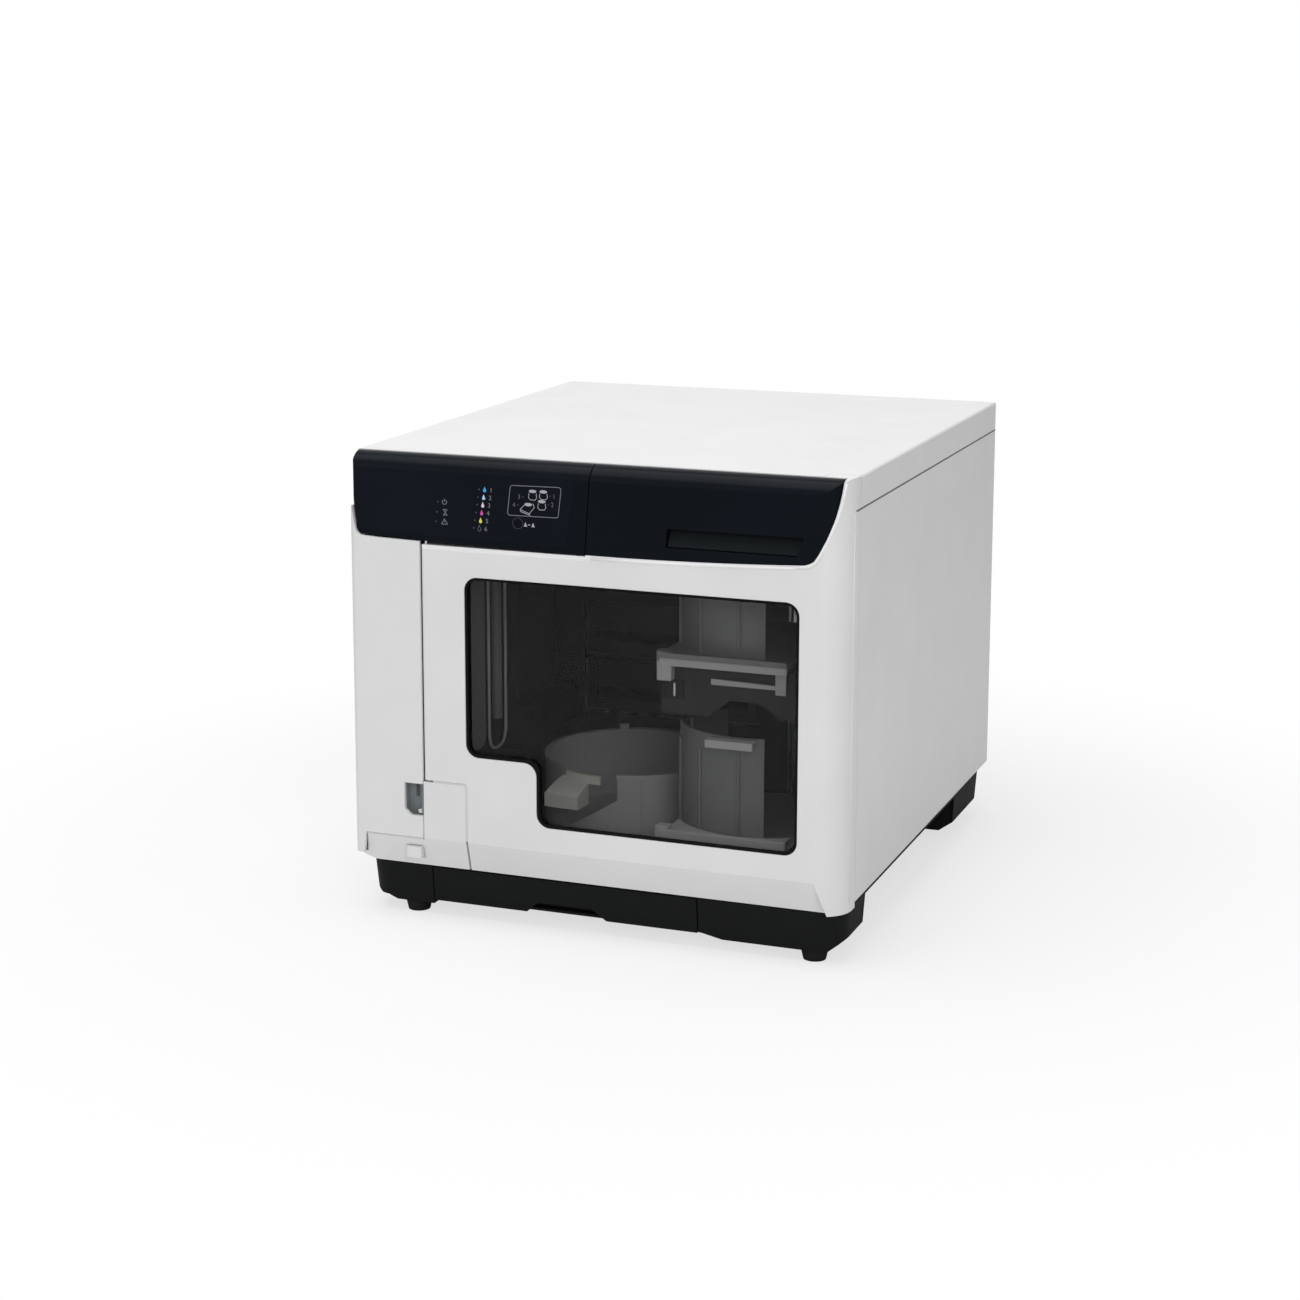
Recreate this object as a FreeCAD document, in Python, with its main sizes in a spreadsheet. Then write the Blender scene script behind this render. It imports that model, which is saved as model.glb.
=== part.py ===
"""Disc label printer with four disc stackers, two disc drives and a pick arm, in millimetres.

Frame: +X to the right seen from the front, the front faces -Y, +Z up, origin at the middle of the
feet's resting plane. Driving sizes are in the "Sizes" sheet; every sub-part is bound to them.
"""

import FreeCAD
import Part
import Sketcher
import math
import os

Vector = FreeCAD.Vector

# ----------------------------------------------------------------------------------------------
# Driving sizes: name, value, what it is
# ----------------------------------------------------------------------------------------------
DRIVING_SIZES = [
    ("Side", 188.5, "half of the width over the side panels"),
    ("Front", -232.5, "front face"),
    ("ShellRear", 192.5, "rear face of the casing"),
    ("DuctRear", 232.5, "rear face of the fan duct, the rearmost point"),
    ("Top", 348.0, "height over the top cover"),
    ("Skin", 2.5, "wall of the casing panels"),
    ("FrontSkin", 3.0, "wall of the covers at the front"),
    ("FrontDepth", 29.0, "depth of the disc cover, front face to its rear rim"),
    ("FrontCorner", 22.0, "plan radius of the front right corner"),
    ("StripDepth", 15.5, "how far the rounded top strip of the front runs back"),
    ("StripHeight", 11.0, "height of that rounding"),
    ("BaseBottom", 11.6, "underside of the base and its drawer"),
    ("BossBottom", 8.7, "underside of the corner blocks, on which the feet sit"),
    ("BaseTop", 42.0, "top of the base plate"),
    ("BaseFront", -221.0, "front face of the base"),
    ("FootRadius", 8.2, "rubber foot where it touches the table"),
    ("FrontBottom", 40.0, "lower edge of the white front"),
    ("Crease", 63.5, "height where the front starts to slope inwards"),
    ("SlopeDepth", 10.0, "how far it slopes in"),
    ("SideBottom", 44.0, "lower edge of the side panels"),
    ("SideSeam", 325.3, "seam between side panels and top cover"),
    ("Gap", 1.5, "parting gap between front pieces"),
    ("BandBottom", 285.0, "lower edge of the dark band where it starts at the left"),
    ("BandInset", 1.8, "how far the dark band lies behind the white front"),
    ("BandLeft", -186.3, "left end of the dark band"),
    ("BandSeam", 0.0, "seam between control panel and disc cover at the top"),
    ("SeamLean", 4.0, "how far that seam leans to the left over the band's height"),
    ("ColumnRight", -132.4, "right edge of the ink cover"),
    ("CoverLeft", -131.4, "left edge of the disc cover"),
    ("FlapRight", -98.0, "right edge of the fixed lower front panel"),
    ("FlapTop", 106.5, "top edge of its raised flap"),
    ("WindowLeft", -97.2, "window opening"),
    ("WindowRight", 154.5, "window opening"),
    ("WindowTop", 262.0, "window opening"),
    ("WindowBottom", 81.5, "window opening"),
    ("WindowStep", 128.5, "height of the step at its lower left"),
    ("WindowStepRight", -42.0, "right end of that step"),
    ("WindowCorner", 10.0, "corner radius of the window"),
    ("GripLeft", 56.0, "finger grip in the band"),
    ("GripRight", 156.5, "finger grip in the band"),
    ("GripTop", 307.0, "finger grip in the band"),
    ("GripBottom", 293.5, "finger grip in the band"),
    ("GripDepth", 9.0, "finger grip in the band"),
    ("HingeInset", 3.2, "hinge pin inside the cover's rounded edge, and the radius of that edge"),
    ("StackRight", 98.0, "middle of stackers 1 and 2"),
    ("StackRightY", -130.0, "middle of stackers 1 and 2"),
    ("StackLeft", -25.0, "middle of stacker 3 and of the disc trays pulled out"),
    ("StackLeftY", -75.0, "middle of stacker 3 and of the disc trays pulled out"),
    ("WellRadius", 61.0, "inner radius of a disc bin, for discs of 120 mm"),
    ("LowWellRadius", 67.0, "inner radius of stacker 3, where discs are dropped"),
    ("BinWall", 2.2, "wall of a disc bin"),
    ("BinHeight", 78.5, "height of a tall bin"),
    ("Stacker1Z", 207.0, "underside of stacker 1"),
    ("Stacker2Z", 73.0, "underside of stacker 2"),
    ("Stacker3Z", 45.0, "underside of stacker 3"),
    ("Stacker3Rim", 100.0, "rim of stacker 3"),
    ("HolderBottom", 166.0, "underside of the stacker 1 holder"),
    ("ChamberLeft", -125.0, "left wall of the chamber, its face"),
    ("ChamberRight", 180.0, "right wall of the chamber, its face"),
    ("ChamberRear", 2.0, "rear wall of the chamber, its face"),
    ("DrawerLeft", -130.5, "drawer front of stacker 4"),
    ("DrawerRight", 76.0, "drawer front of stacker 4"),
    ("DriveWidth", 146.0, "half-height disc drive"),
    ("DriveDepth", 170.0, "half-height disc drive"),
    ("DriveHeight", 41.5, "half-height disc drive"),
    ("Drive1Z", 155.0, "underside of the upper drive"),
    ("Drive2Z", 108.0, "underside of the lower drive"),
    ("TrayWidth", 126.0, "disc tray"),
    ("TrayTravel", 145.0, "disc tray"),
    ("DriveFront", 6.0, "front of the drives and of the print unit"),
    ("PrinterZ", 203.0, "underside of the print unit"),
    ("ArmX", 65.3, "swivel axis of the pick arm, equally far from the two stacks"),
    ("ArmY", -38.0, "swivel axis of the pick arm"),
    ("ArmZ", 313.0, "underside of the pick arm when parked"),
    ("RodLeft", 86.0, "guide rod of the arm carriage"),
    ("RodRight", 124.0, "guide rod of the arm carriage"),
    ("RodY", -20.0, "guide rods of the arm carriage"),
    ("RodRadius", 4.0, "guide rods of the arm carriage"),
    ("CarriageZ", 285.0, "underside of the arm carriage when parked"),
    ("BeltTop", 330.5, "axis of the upper belt pulley"),
    ("BeltBottom", 62.0, "axis of the lower belt pulley"),
    ("PulleyRadius", 8.0, "belt pulleys"),
    ("CartridgePitch", 33.0, "height from one ink cartridge to the next"),
    ("CartridgeZ", 78.0, "underside of the lowest ink cartridge"),
    ("FanX", -60.0, "fan axis"),
    ("FanZ", 190.0, "fan axis"),
    ("FanRadius", 38.0, "fan blades"),
]


class Size:
    """A length that carries its value and the sheet expression it comes from."""

    def __init__(self, value, text):
        self.value = float(value)
        self.text = text

    @staticmethod
    def of(other):
        return other if isinstance(other, Size) else Size(other, f"{float(other):.4f}")

    def __add__(self, other):
        other = Size.of(other)
        return Size(self.value + other.value, f"({self.text} + {other.text})")

    def __radd__(self, other):
        return Size.of(other) + self

    def __sub__(self, other):
        other = Size.of(other)
        return Size(self.value - other.value, f"({self.text} - {other.text})")

    def __rsub__(self, other):
        return Size.of(other) - self

    def __mul__(self, factor):
        return Size(self.value * factor, f"({self.text} * {factor:.4f})")

    __rmul__ = __mul__

    def __neg__(self):
        return Size(-self.value, f"(0 - {self.text})")


class Sizes:
    """The driving sizes as attributes."""


def make_sheet(document):
    """Fill the sheet and return its sizes."""
    sheet = document.addObject("Spreadsheet::Sheet", "Sizes")
    sizes = Sizes()
    for row, (name, value, meaning) in enumerate(DRIVING_SIZES, start=1):
        sheet.set(f"A{row}", str(value))
        sheet.setAlias(f"A{row}", name)
        sheet.set(f"B{row}", meaning)
        setattr(sizes, name, Size(value, f"Sizes.{name}"))
    document.recompute()
    return sizes


doc = FreeCAD.newDocument("DiscLabelPrinter")
S = make_sheet(doc)
nodes = []


# ----------------------------------------------------------------------------------------------
# Small tools: binding, sketches, features
# ----------------------------------------------------------------------------------------------
def number(size):
    return size.value if isinstance(size, Size) else float(size)


def bind(item, name, size):
    """Set a length of an object and bind it to the sheet."""
    setattr(item, name, number(size))
    if isinstance(size, Size):
        item.setExpression(name, size.text)


def place(item, x=0, y=0, z=0, axis=Vector(0, 0, 1), angle=0):
    """Place an object and bind its position."""
    turn = FreeCAD.Rotation(axis, angle)
    item.Placement = FreeCAD.Placement(Vector(number(x), number(y), number(z)), turn)
    for letter, size in (("x", x), ("y", y), ("z", z)):
        if isinstance(size, Size):
            item.setExpression(f"Placement.Base.{letter}", size.text)


def keep(item, label):
    """Register an object as one sub-part."""
    item.Label = label
    nodes.append(item)
    return item


def new_body(label):
    return keep(doc.addObject("PartDesign::Body", label + "_body"), label)


TURN_TO = {"z": (Vector(0, 0, 1), 0), "y": (Vector(1, 0, 0), -90), "x": (Vector(0, 1, 0), 90)}


def cylinder(x, y, z, radius, height, along="z"):
    """A cylinder that starts at the given point and runs along +axis."""
    item = doc.addObject("Part::Cylinder", "Round")
    bind(item, "Radius", radius)
    bind(item, "Height", height)
    axis, angle = TURN_TO[along]
    place(item, x, y, z, axis, angle)
    return item


def fuse(*items):
    item = doc.addObject("Part::MultiFuse", "Fused")
    item.Shapes = list(items)
    item.Refine = True
    return item


def cut(base, *tools):
    item = doc.addObject("Part::Cut", "Cut")
    item.Base = base
    item.Tool = tools[0] if len(tools) == 1 else fuse(*tools)
    return item


PLANES = {"z": "XY_Plane", "y": "XZ_Plane", "x": "YZ_Plane"}


def origin_plane(body, axis):
    return next(f for f in body.Origin.OriginFeatures if f.Role == PLANES[axis])


def nearest_end(sketch, index, point):
    """1 or 2: the end of a sketch edge that lies at the point."""
    start = sketch.getPoint(index, 1)
    end = sketch.getPoint(index, 2)
    return 1 if (start - point).Length <= (end - point).Length else 2


def pin_point(sketch, index, end, corner):
    """Hold one sketch point at its bound coordinates."""
    for kind, line, size in (("DistanceX", -2, corner[0]), ("DistanceY", -1, corner[1])):
        value = number(size)
        if abs(value) < 1e-9:
            sketch.addConstraint(Sketcher.Constraint("PointOnObject", index, end, line))
            continue
        text = size.text if isinstance(size, Size) else None
        if value > 0:
            held = sketch.addConstraint(Sketcher.Constraint(kind, -1, 1, index, end, value))
        else:
            held = sketch.addConstraint(Sketcher.Constraint(kind, index, end, -1, 1, -value))
            text = f"0 - {text}" if text else None
        if text:
            sketch.setExpression(f"Constraints[{held}]", text)


def add_circle(sketch, x, y, radius):
    centre = Vector(number(x), number(y), 0)
    index = sketch.addGeometry(Part.Circle(centre, Vector(0, 0, 1), number(radius)))
    held = sketch.addConstraint(Sketcher.Constraint("Radius", index, number(radius)))
    if isinstance(radius, Size):
        sketch.setExpression(f"Constraints[{held}]", radius.text)
    pin_point(sketch, index, 3, (x, y))


def add_outline(sketch, corners):
    """Add a closed outline. A corner is (x, y), or (x, y, via) when an arc through via reaches it."""
    points = [Vector(number(c[0]), number(c[1]), 0) for c in corners]
    edges = []
    for i, corner in enumerate(corners):
        start, end = points[i - 1], points[i]
        if len(corner) == 3:
            via = Vector(number(corner[2][0]), number(corner[2][1]), 0)
            edge = Part.Arc(start, via, end)
        else:
            edge = Part.LineSegment(start, end)
        edges.append(sketch.addGeometry(edge))
    for i, corner in enumerate(corners):
        after = edges[(i + 1) % len(edges)]
        end = nearest_end(sketch, edges[i], points[i])
        start = nearest_end(sketch, after, points[i])
        sketch.addConstraint(Sketcher.Constraint("Coincident", edges[i], end, after, start))
        pin_point(sketch, edges[i], end, corner)


def new_sketch(body, axis, level, outlines):
    """A sketch across an axis at a level. Outlines are corner lists or (x, y, radius) circles."""
    sketch = body.newObject("Sketcher::SketchObject", "Sketch")
    sketch.AttachmentSupport = [(origin_plane(body, axis), "")]
    sketch.MapMode = "FlatFace"
    offset = -Size.of(level) if axis == "y" else Size.of(level)
    sketch.AttachmentOffset = FreeCAD.Placement(Vector(0, 0, offset.value), FreeCAD.Rotation())
    sketch.setExpression("AttachmentOffset.Base.z", offset.text)
    for outline in outlines:
        if isinstance(outline, tuple):
            add_circle(sketch, *outline)
        else:
            add_outline(sketch, outline)
    return sketch


def pad(body, axis, outlines, low, high):
    """Add material between two levels along an axis."""
    level = high if axis == "y" else low
    sketch = new_sketch(body, axis, level, outlines)
    item = body.newObject("PartDesign::Pad", "Pad")
    item.Profile = sketch
    bind(item, "Length", Size.of(high) - low)
    doc.recompute()
    return item


def pocket(body, axis, outlines, low, high):
    """Remove material between two levels along an axis, and check that it cut."""
    before = body.Shape.Volume
    level = low if axis == "y" else high
    sketch = new_sketch(body, axis, level, outlines)
    item = body.newObject("PartDesign::Pocket", "Pocket")
    item.Profile = sketch
    bind(item, "Length", Size.of(high) - low)
    doc.recompute()
    if not body.Shape.Volume < before - 1e-6:
        raise RuntimeError(f"{body.Label}: a pocket cut nothing")
    return item


def loft_pad(body, axis, near_level, near, far_level, far):
    """Add a tapering block between two outlines with as many corners."""
    first = new_sketch(body, axis, near_level, [near])
    second = new_sketch(body, axis, far_level, [far])
    loft = body.newObject("PartDesign::AdditiveLoft", "Block")
    loft.Profile = first
    loft.Sections = [second]
    loft.Ruled = True
    doc.recompute()
    if not loft.Shape.isValid() or loft.Shape.isNull():
        raise RuntimeError(f"{body.Label}: a tapering block failed")


def loft_pocket(body, axis, near_level, near, far_level, far):
    """Remove the material between two outlines with as many corners, and check that it cut."""
    before = body.Shape.Volume
    first = new_sketch(body, axis, near_level, [near])
    second = new_sketch(body, axis, far_level, [far])
    loft = body.newObject("PartDesign::SubtractiveLoft", "Taper")
    loft.Profile = first
    loft.Sections = [second]
    loft.Ruled = True
    doc.recompute()
    if not body.Shape.Volume < before:
        raise RuntimeError(f"{body.Label}: a tapered pocket cut nothing")


def round_edges(body, radius, test):
    """Fillet the edges of a body for which test(edge) is true."""
    doc.recompute()
    base = body.Tip
    chosen = [f"Edge{i}" for i, edge in enumerate(base.Shape.Edges, start=1) if test(edge)]
    if not chosen:
        raise RuntimeError(f"{body.Label}: no edge to round")
    item = body.newObject("PartDesign::Fillet", "Round")
    item.Base = (base, chosen)
    item.Radius = radius
    doc.recompute()
    if not item.Shape.isValid() or item.Shape.isNull():
        raise RuntimeError(f"{body.Label}: a fillet failed")
    return item


def rect(x0, y0, x1, y1):
    return [(x0, y0), (x1, y0), (x1, y1), (x0, y1)]


def rounded(corners, radius):
    """The outline of a polygon whose corners are rounded, each with the same radius."""
    outline = []
    count = len(corners)
    for i, (x, y) in enumerate(corners):
        here = Vector(number(x), number(y), 0)
        arms = []
        for other in (corners[i - 1], corners[(i + 1) % count]):
            arms.append((Vector(number(other[0]), number(other[1]), 0) - here).normalize())
        half = arms[0].getAngle(arms[1]) / 2
        reach = radius / math.tan(half)
        middle = (arms[0] + arms[1]).normalize() * (radius / math.sin(half) - radius)
        start, end = arms[0] * reach, arms[1] * reach
        outline.append((x + start.x, y + start.y))
        outline.append((x + end.x, y + end.y, (here.x + middle.x, here.y + middle.y)))
    return outline


def is_upright(edge):
    start, end = edge.Vertexes[0].Point, edge.Vertexes[-1].Point
    return abs(start.x - end.x) < 1e-6 and abs(start.y - end.y) < 1e-6 and len(edge.Vertexes) == 2


# ----------------------------------------------------------------------------------------------
# Base and feet
# ----------------------------------------------------------------------------------------------
BASE_SIDE_INSET = 3.0
BASE_DRAFT = 4.0
BLOCK_DEPTH = 54.0
DRAWER_CLEAR = 1.0
DRAWER_TUNNEL_DEPTH = 216.0


def base_frame():
    """Moulded base: top plate, front and rear blocks, and the tunnel of the stacker 4 drawer."""
    body = new_body("base_frame")
    left, right = -S.Side + BASE_SIDE_INSET, S.Side - BASE_SIDE_INSET
    rear = S.ShellRear - BASE_SIDE_INSET
    # the walls lean inwards towards the bottom
    above = rounded(rect(left, S.BaseFront, right, rear), 20)
    below = rounded(rect(left + BASE_DRAFT / 2, S.BaseFront + BASE_DRAFT, right - BASE_DRAFT / 2,
                         rear - BASE_DRAFT), 19)
    loft_pad(body, "z", S.BossBottom, below, S.BaseTop, above)
    pocket(body, "y", [rect(left - 1, S.FrontBottom - 1, right + 1, S.BaseTop + 1)],
           S.BaseFront - 1, S.Front + S.FrontDepth + 1)
    # between its front and rear blocks the skirt is open at both sides
    for x0, x1 in ((left - 1, left + 38), (right - 88, right + 1)):
        pocket(body, "z", [rounded(rect(x0, S.BaseFront + BLOCK_DEPTH, x1, 96), 6)],
               S.BossBottom - 1, S.BaseTop - 4)
    # only the corner blocks reach down to the feet
    slot_left, slot_right = S.DrawerLeft - DRAWER_CLEAR, S.DrawerRight + DRAWER_CLEAR
    pocket(body, "z", [rect(slot_left, S.BaseFront - 1, slot_right, 120)], S.BossBottom - 1,
           S.BaseBottom)
    left_rise = [(left - 1, S.BossBottom - 1), (left + 24, S.BossBottom - 1),
                 (left + 24, S.BossBottom), (left + 17, S.BaseBottom), (left + 10, S.BaseBottom),
                 (left - 1, S.BaseBottom + 5)]
    pocket(body, "y", [left_rise], S.BaseFront - 1, rear + 1)
    right_rise = [(slot_right - 1, S.BossBottom - 1), (slot_right + 18, S.BossBottom - 1),
                  (slot_right + 18, S.BossBottom), (slot_right + 2, S.BaseBottom + 0.6),
                  (slot_right - 1, S.BaseBottom + 0.6)]
    pocket(body, "y", [right_rise], S.BaseFront - 1, S.BaseFront + BLOCK_DEPTH + 1)
    right_edge = [(right - 13, S.BossBottom - 1), (right + 1, S.BossBottom - 1),
                  (right + 1, S.BossBottom + 10), (right - 13, S.BossBottom)]
    pocket(body, "y", [right_edge], S.BaseFront - 1, rear + 1)
    tunnel = rect(slot_left, S.BaseBottom + 2, slot_right, S.BaseTop - 3)
    pocket(body, "y", [tunnel], S.BaseFront - 1, S.BaseFront + DRAWER_TUNNEL_DEPTH)
    front_gap = rect(slot_left, S.BaseBottom - 1, slot_right, S.BaseTop - 3)
    pocket(body, "y", [front_gap], S.BaseFront - 1, S.BaseFront + BASE_DRAFT + 5)
    # discs drop through this hole into the drawer when stacker 3 is out
    pocket(body, "z", [(S.StackLeft, S.StackLeftY, S.WellRadius - 0.5)],
           S.BaseTop - 4, S.BaseTop + 1)
    pocket(body, "z", [rounded(rect(60 + 18 * i, 30, 68 + 18 * i, 80), 3) for i in range(2)],
           S.BossBottom - 1, S.BaseTop + 1)


FOOT_PLACES = [(-149.0, -206.0), (160.5, -206.0), (-149.0, 150.0), (160.5, 150.0)]


def rubber_feet():
    """Four tapered rubber feet."""
    feet = []
    for x, y in FOOT_PLACES:
        foot = doc.addObject("Part::Cone", "Foot")
        bind(foot, "Radius1", S.FootRadius)
        bind(foot, "Radius2", S.FootRadius + 2)
        bind(foot, "Height", S.BossBottom)
        place(foot, x, y, 0)
        feet.append(foot)
    keep(fuse(*feet), "rubber_feet")


def stacker_4_drawer():
    """Drawer in the base with a round well for five discs and a finger notch under its front."""
    body = new_body("stacker_4_drawer")
    low, high = S.BaseBottom + 3, S.BaseTop - 4
    well_x, well_y = S.StackLeft, S.StackLeftY
    pad(body, "z", [rounded(rect(well_x - 68, S.BaseFront + 6, well_x + 68, well_y + 65), 6)],
        low, high)
    lean = BASE_DRAFT * number(high - S.BaseBottom) / number(S.BaseTop - S.BossBottom)
    upper, lower = S.BaseFront + BASE_DRAFT * 0.12, S.BaseFront + BASE_DRAFT * 0.12 + lean
    front = [(lower, S.BaseBottom), (upper, high), (upper + 7, high), (lower + 4, S.BaseBottom)]
    pad(body, "x", [front], S.DrawerLeft, S.DrawerRight)
    pocket(body, "z", [(well_x, well_y, S.WellRadius + 0.5)], low + 2, high + 1)
    pocket(body, "z", [(well_x, well_y, 18)], low - 1, low + 3)
    notch = [(well_x - 32.5, S.BaseBottom - 1), (well_x + 32.5, S.BaseBottom - 1),
             (well_x + 20, S.BaseBottom + 8), (well_x - 22, S.BaseBottom + 8)]
    pocket(body, "y", [notch], S.BaseFront - 1, S.BaseFront + 13)
    # the deck in front of the well is ribbed and open between its ribs
    for x0 in (-60, -18, 24):
        bay = rect(well_x + x0, S.BaseFront + 8, well_x + x0 + 36, well_y - S.WellRadius - 5)
        pocket(body, "z", [rounded(bay, 4)], low + 3, high + 1)


# ----------------------------------------------------------------------------------------------
# Casing
# ----------------------------------------------------------------------------------------------
PANEL_FRONT = -213.0


def side_panel_right():
    """Plain right side panel with a stiffening flange along its rear edge."""
    body = new_body("side_panel_right")
    front = S.Front + S.FrontDepth + 0.6
    pad(body, "x", [rect(front, S.SideBottom, S.ShellRear, S.SideSeam - 0.6)],
        S.Side - S.Skin, S.Side)
    pad(body, "x", [rect(S.ShellRear - 8, S.SideBottom, S.ShellRear - 5.5, S.SideSeam - 0.6)],
        S.Side - 9, S.Side - S.Skin)


def side_panel_left():
    body = new_body("side_panel_left")
    nose, step = S.Front + S.StripDepth + 0.6, S.BandBottom + INK_STRIP_TOP + 1
    profile = [(PANEL_FRONT, S.SideBottom), (S.ShellRear, S.SideBottom),
               (S.ShellRear, S.SideSeam - 0.6), (nose, S.SideSeam - 0.6), (nose, step),
               (PANEL_FRONT, step)]
    pad(body, "x", [profile], -S.Side, -S.Side + S.Skin)
    slots = [rounded(rect(110 + 9 * i, 70, 114 + 9 * i, 112), 1.9) for i in range(6)]
    for slot in slots:
        pocket(body, "x", [slot], -S.Side - 1, -S.Side + S.Skin + 1)


def top_cover():
    """White top with side skirts; its front right corner gives way to the disc cover."""
    body = new_body("top_cover")
    front = S.Front + S.StripDepth + 0.5
    corner_x, corner_y = S.Side - S.FrontCorner, S.Front + S.FrontDepth + 0.6
    plan = [(-S.Side, front), (corner_x - 0.5, front), (corner_x - 0.5, corner_y),
            (S.Side, corner_y), (S.Side, S.ShellRear), (-S.Side, S.ShellRear)]
    pad(body, "z", [plan], S.SideSeam, S.Top)
    inner = [(-S.Side + S.Skin, front + S.Skin), (corner_x - 3, front + S.Skin),
             (corner_x - 3, corner_y + S.Skin), (S.Side - S.Skin, corner_y + S.Skin),
             (S.Side - S.Skin, S.ShellRear - S.Skin), (-S.Side + S.Skin, S.ShellRear - S.Skin)]
    before = body.Shape.Volume
    sketch = new_sketch(body, "z", S.SideSeam, [inner])
    hollow = body.newObject("PartDesign::Pocket", "Hollow")
    hollow.Profile = sketch
    hollow.Reversed = True
    bind(hollow, "Length", S.Top - S.SideSeam - S.Skin)
    doc.recompute()
    if not body.Shape.Volume < before:
        raise RuntimeError("top_cover: not hollow")
    high = S.Top.value

    def top_rim(edge):
        return all(abs(v.Z - high) < 1e-6 for v in edge.Vertexes) and (
            all(abs(abs(v.X) - S.Side.value) < 1e-6 for v in edge.Vertexes)
            or all(abs(v.Y - S.ShellRear.value) < 1e-6 for v in edge.Vertexes))

    round_edges(body, 2.0, top_rim)


DUCT_WIDTH = 250.0
DUCT_LOW, DUCT_HIGH = 96.0, 296.0


def rear_cover():
    """Rear panel with the drawn-out fan duct, its louvred outlet and the connector openings."""
    body = new_body("rear_cover")
    inset = S.Skin + 0.2
    panel = rect(-S.Side + inset, S.BaseTop + 0.2, S.Side - inset, S.SideSeam - 0.6)
    pad(body, "y", [panel], S.ShellRear - S.Skin, S.ShellRear)
    duct = rect(-DUCT_WIDTH / 2, DUCT_LOW, DUCT_WIDTH / 2, DUCT_HIGH)
    pad(body, "y", [duct], S.ShellRear, S.DuctRear)
    rear = S.DuctRear.value

    def duct_rim(edge):
        return all(abs(v.Y - rear) < 1e-6 for v in edge.Vertexes)

    round_edges(body, 9.0, duct_rim)
    wall = 2.5
    inner = rect(-DUCT_WIDTH / 2 + wall, DUCT_LOW + wall, DUCT_WIDTH / 2 - wall, DUCT_HIGH - wall)
    sketch = new_sketch(body, "y", S.ShellRear - S.Skin - 1, [rounded(inner, 4)])
    hollow = body.newObject("PartDesign::Pocket", "Hollow")
    hollow.Profile = sketch
    bind(hollow, "Length", S.DuctRear - S.ShellRear + S.Skin + 1 - 4.0)
    doc.recompute()
    slots = []
    for i in range(9):
        z = S.FanZ - 36 + 9 * i
        half = math.sqrt(max(40.0 ** 2 - (9.0 * (i - 4)) ** 2, 1.0))
        slots.append(rounded(rect(S.FanX - half, z - 2.2, S.FanX + half, z + 2.2), 2.1))
    for slot in slots:
        pocket(body, "y", [slot], S.DuctRear - 6, S.DuctRear + 1)
    pocket(body, "y", [rect(108, 52, 136, 76), rect(62, 54, 78, 68)],
           S.ShellRear - S.Skin - 1, S.ShellRear + 1)


def power_inlet():
    """Three-pin appliance inlet with a flanged body and open socket."""
    body = new_body("power_inlet")
    pad(body, "y", [rect(108.3, 52.3, 135.7, 75.7)], S.ShellRear - 20, S.ShellRear)
    pad(body, "y", [rounded(rect(104, 48.5, 140, 79.5), 3)], S.ShellRear, S.ShellRear + 2)
    socket = [(111, 55), (133, 55), (133, 69), (129, 73), (115, 73), (111, 69)]
    pocket(body, "y", [socket], S.ShellRear - 14, S.ShellRear + 3)
    for x, z in ((115, 62), (122, 67), (129, 62)):
        pad(body, "y", [rect(x - 1, z - 2, x + 1, z + 2)], S.ShellRear - 14.5, S.ShellRear - 6)


def data_socket():
    """Square data socket with its tongue."""
    body = new_body("data_socket")
    pad(body, "y", [rect(62.3, 54.3, 77.7, 67.7)], S.ShellRear - 14, S.ShellRear + 0.6)
    socket = [(64.5, 56), (75.5, 56), (75.5, 63.5), (73.5, 66), (66.5, 66), (64.5, 63.5)]
    pocket(body, "y", [socket], S.ShellRear - 10, S.ShellRear + 1)
    pad(body, "y", [rect(67.5, 58.6, 72.5, 62.2)], S.ShellRear - 10.5, S.ShellRear - 1)


def rear_screws():
    """Countersunk screws of the rear panel."""
    heads = []
    for x, z in ((-170, 60), (170, 60), (-170, 200), (170, 200), (-170, 314), (170, 314), (0, 314),
                 (0, 60)):
        head = cylinder(x, S.ShellRear, z, 3.4, 1.4, along="y")
        drive = cylinder(x, S.ShellRear + 0.6, z, 1.3, 2, along="y")
        heads.append(cut(head, drive))
    keep(fuse(*heads), "rear_screws")


# ----------------------------------------------------------------------------------------------
# Front: control panel, fixed lower panel, ink cover, disc cover
# ----------------------------------------------------------------------------------------------
BAND_RIGHT = 155.0
BAND_RIGHT_Z = 288.0
SEAM_GAP = 0.8
PANEL_WALL = 3.0


def crest(back, top, front, low):
    """Middle of the arc that leaves (back, top) level and falls to (front, low)."""
    deep, high = number(back) - number(front), number(top) - number(low)
    radius = (deep ** 2 + high ** 2) / (2 * high)
    half = math.asin(deep / radius) / 2
    return number(back) - radius * math.sin(half), number(top) - radius * (1 - math.cos(half))


def strip_profile():
    """Side view of the dark band: flat front and a top edge that rounds back, as (y, z)."""
    back, front = S.Front + S.StripDepth, S.Front + S.BandInset
    top, bend, low = S.Top - 0.6, S.Top - S.StripHeight, S.BandBottom - 4
    return [(back, low), (back, top), (front, bend, crest(back, top, front, bend)), (front, low)]


def seam_x(z):
    """Place of the leaning seam in the band at a height."""
    return S.BandSeam - S.SeamLean * ((S.Top.value - number(z)) / (S.Top - S.BandBottom).value)


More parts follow.
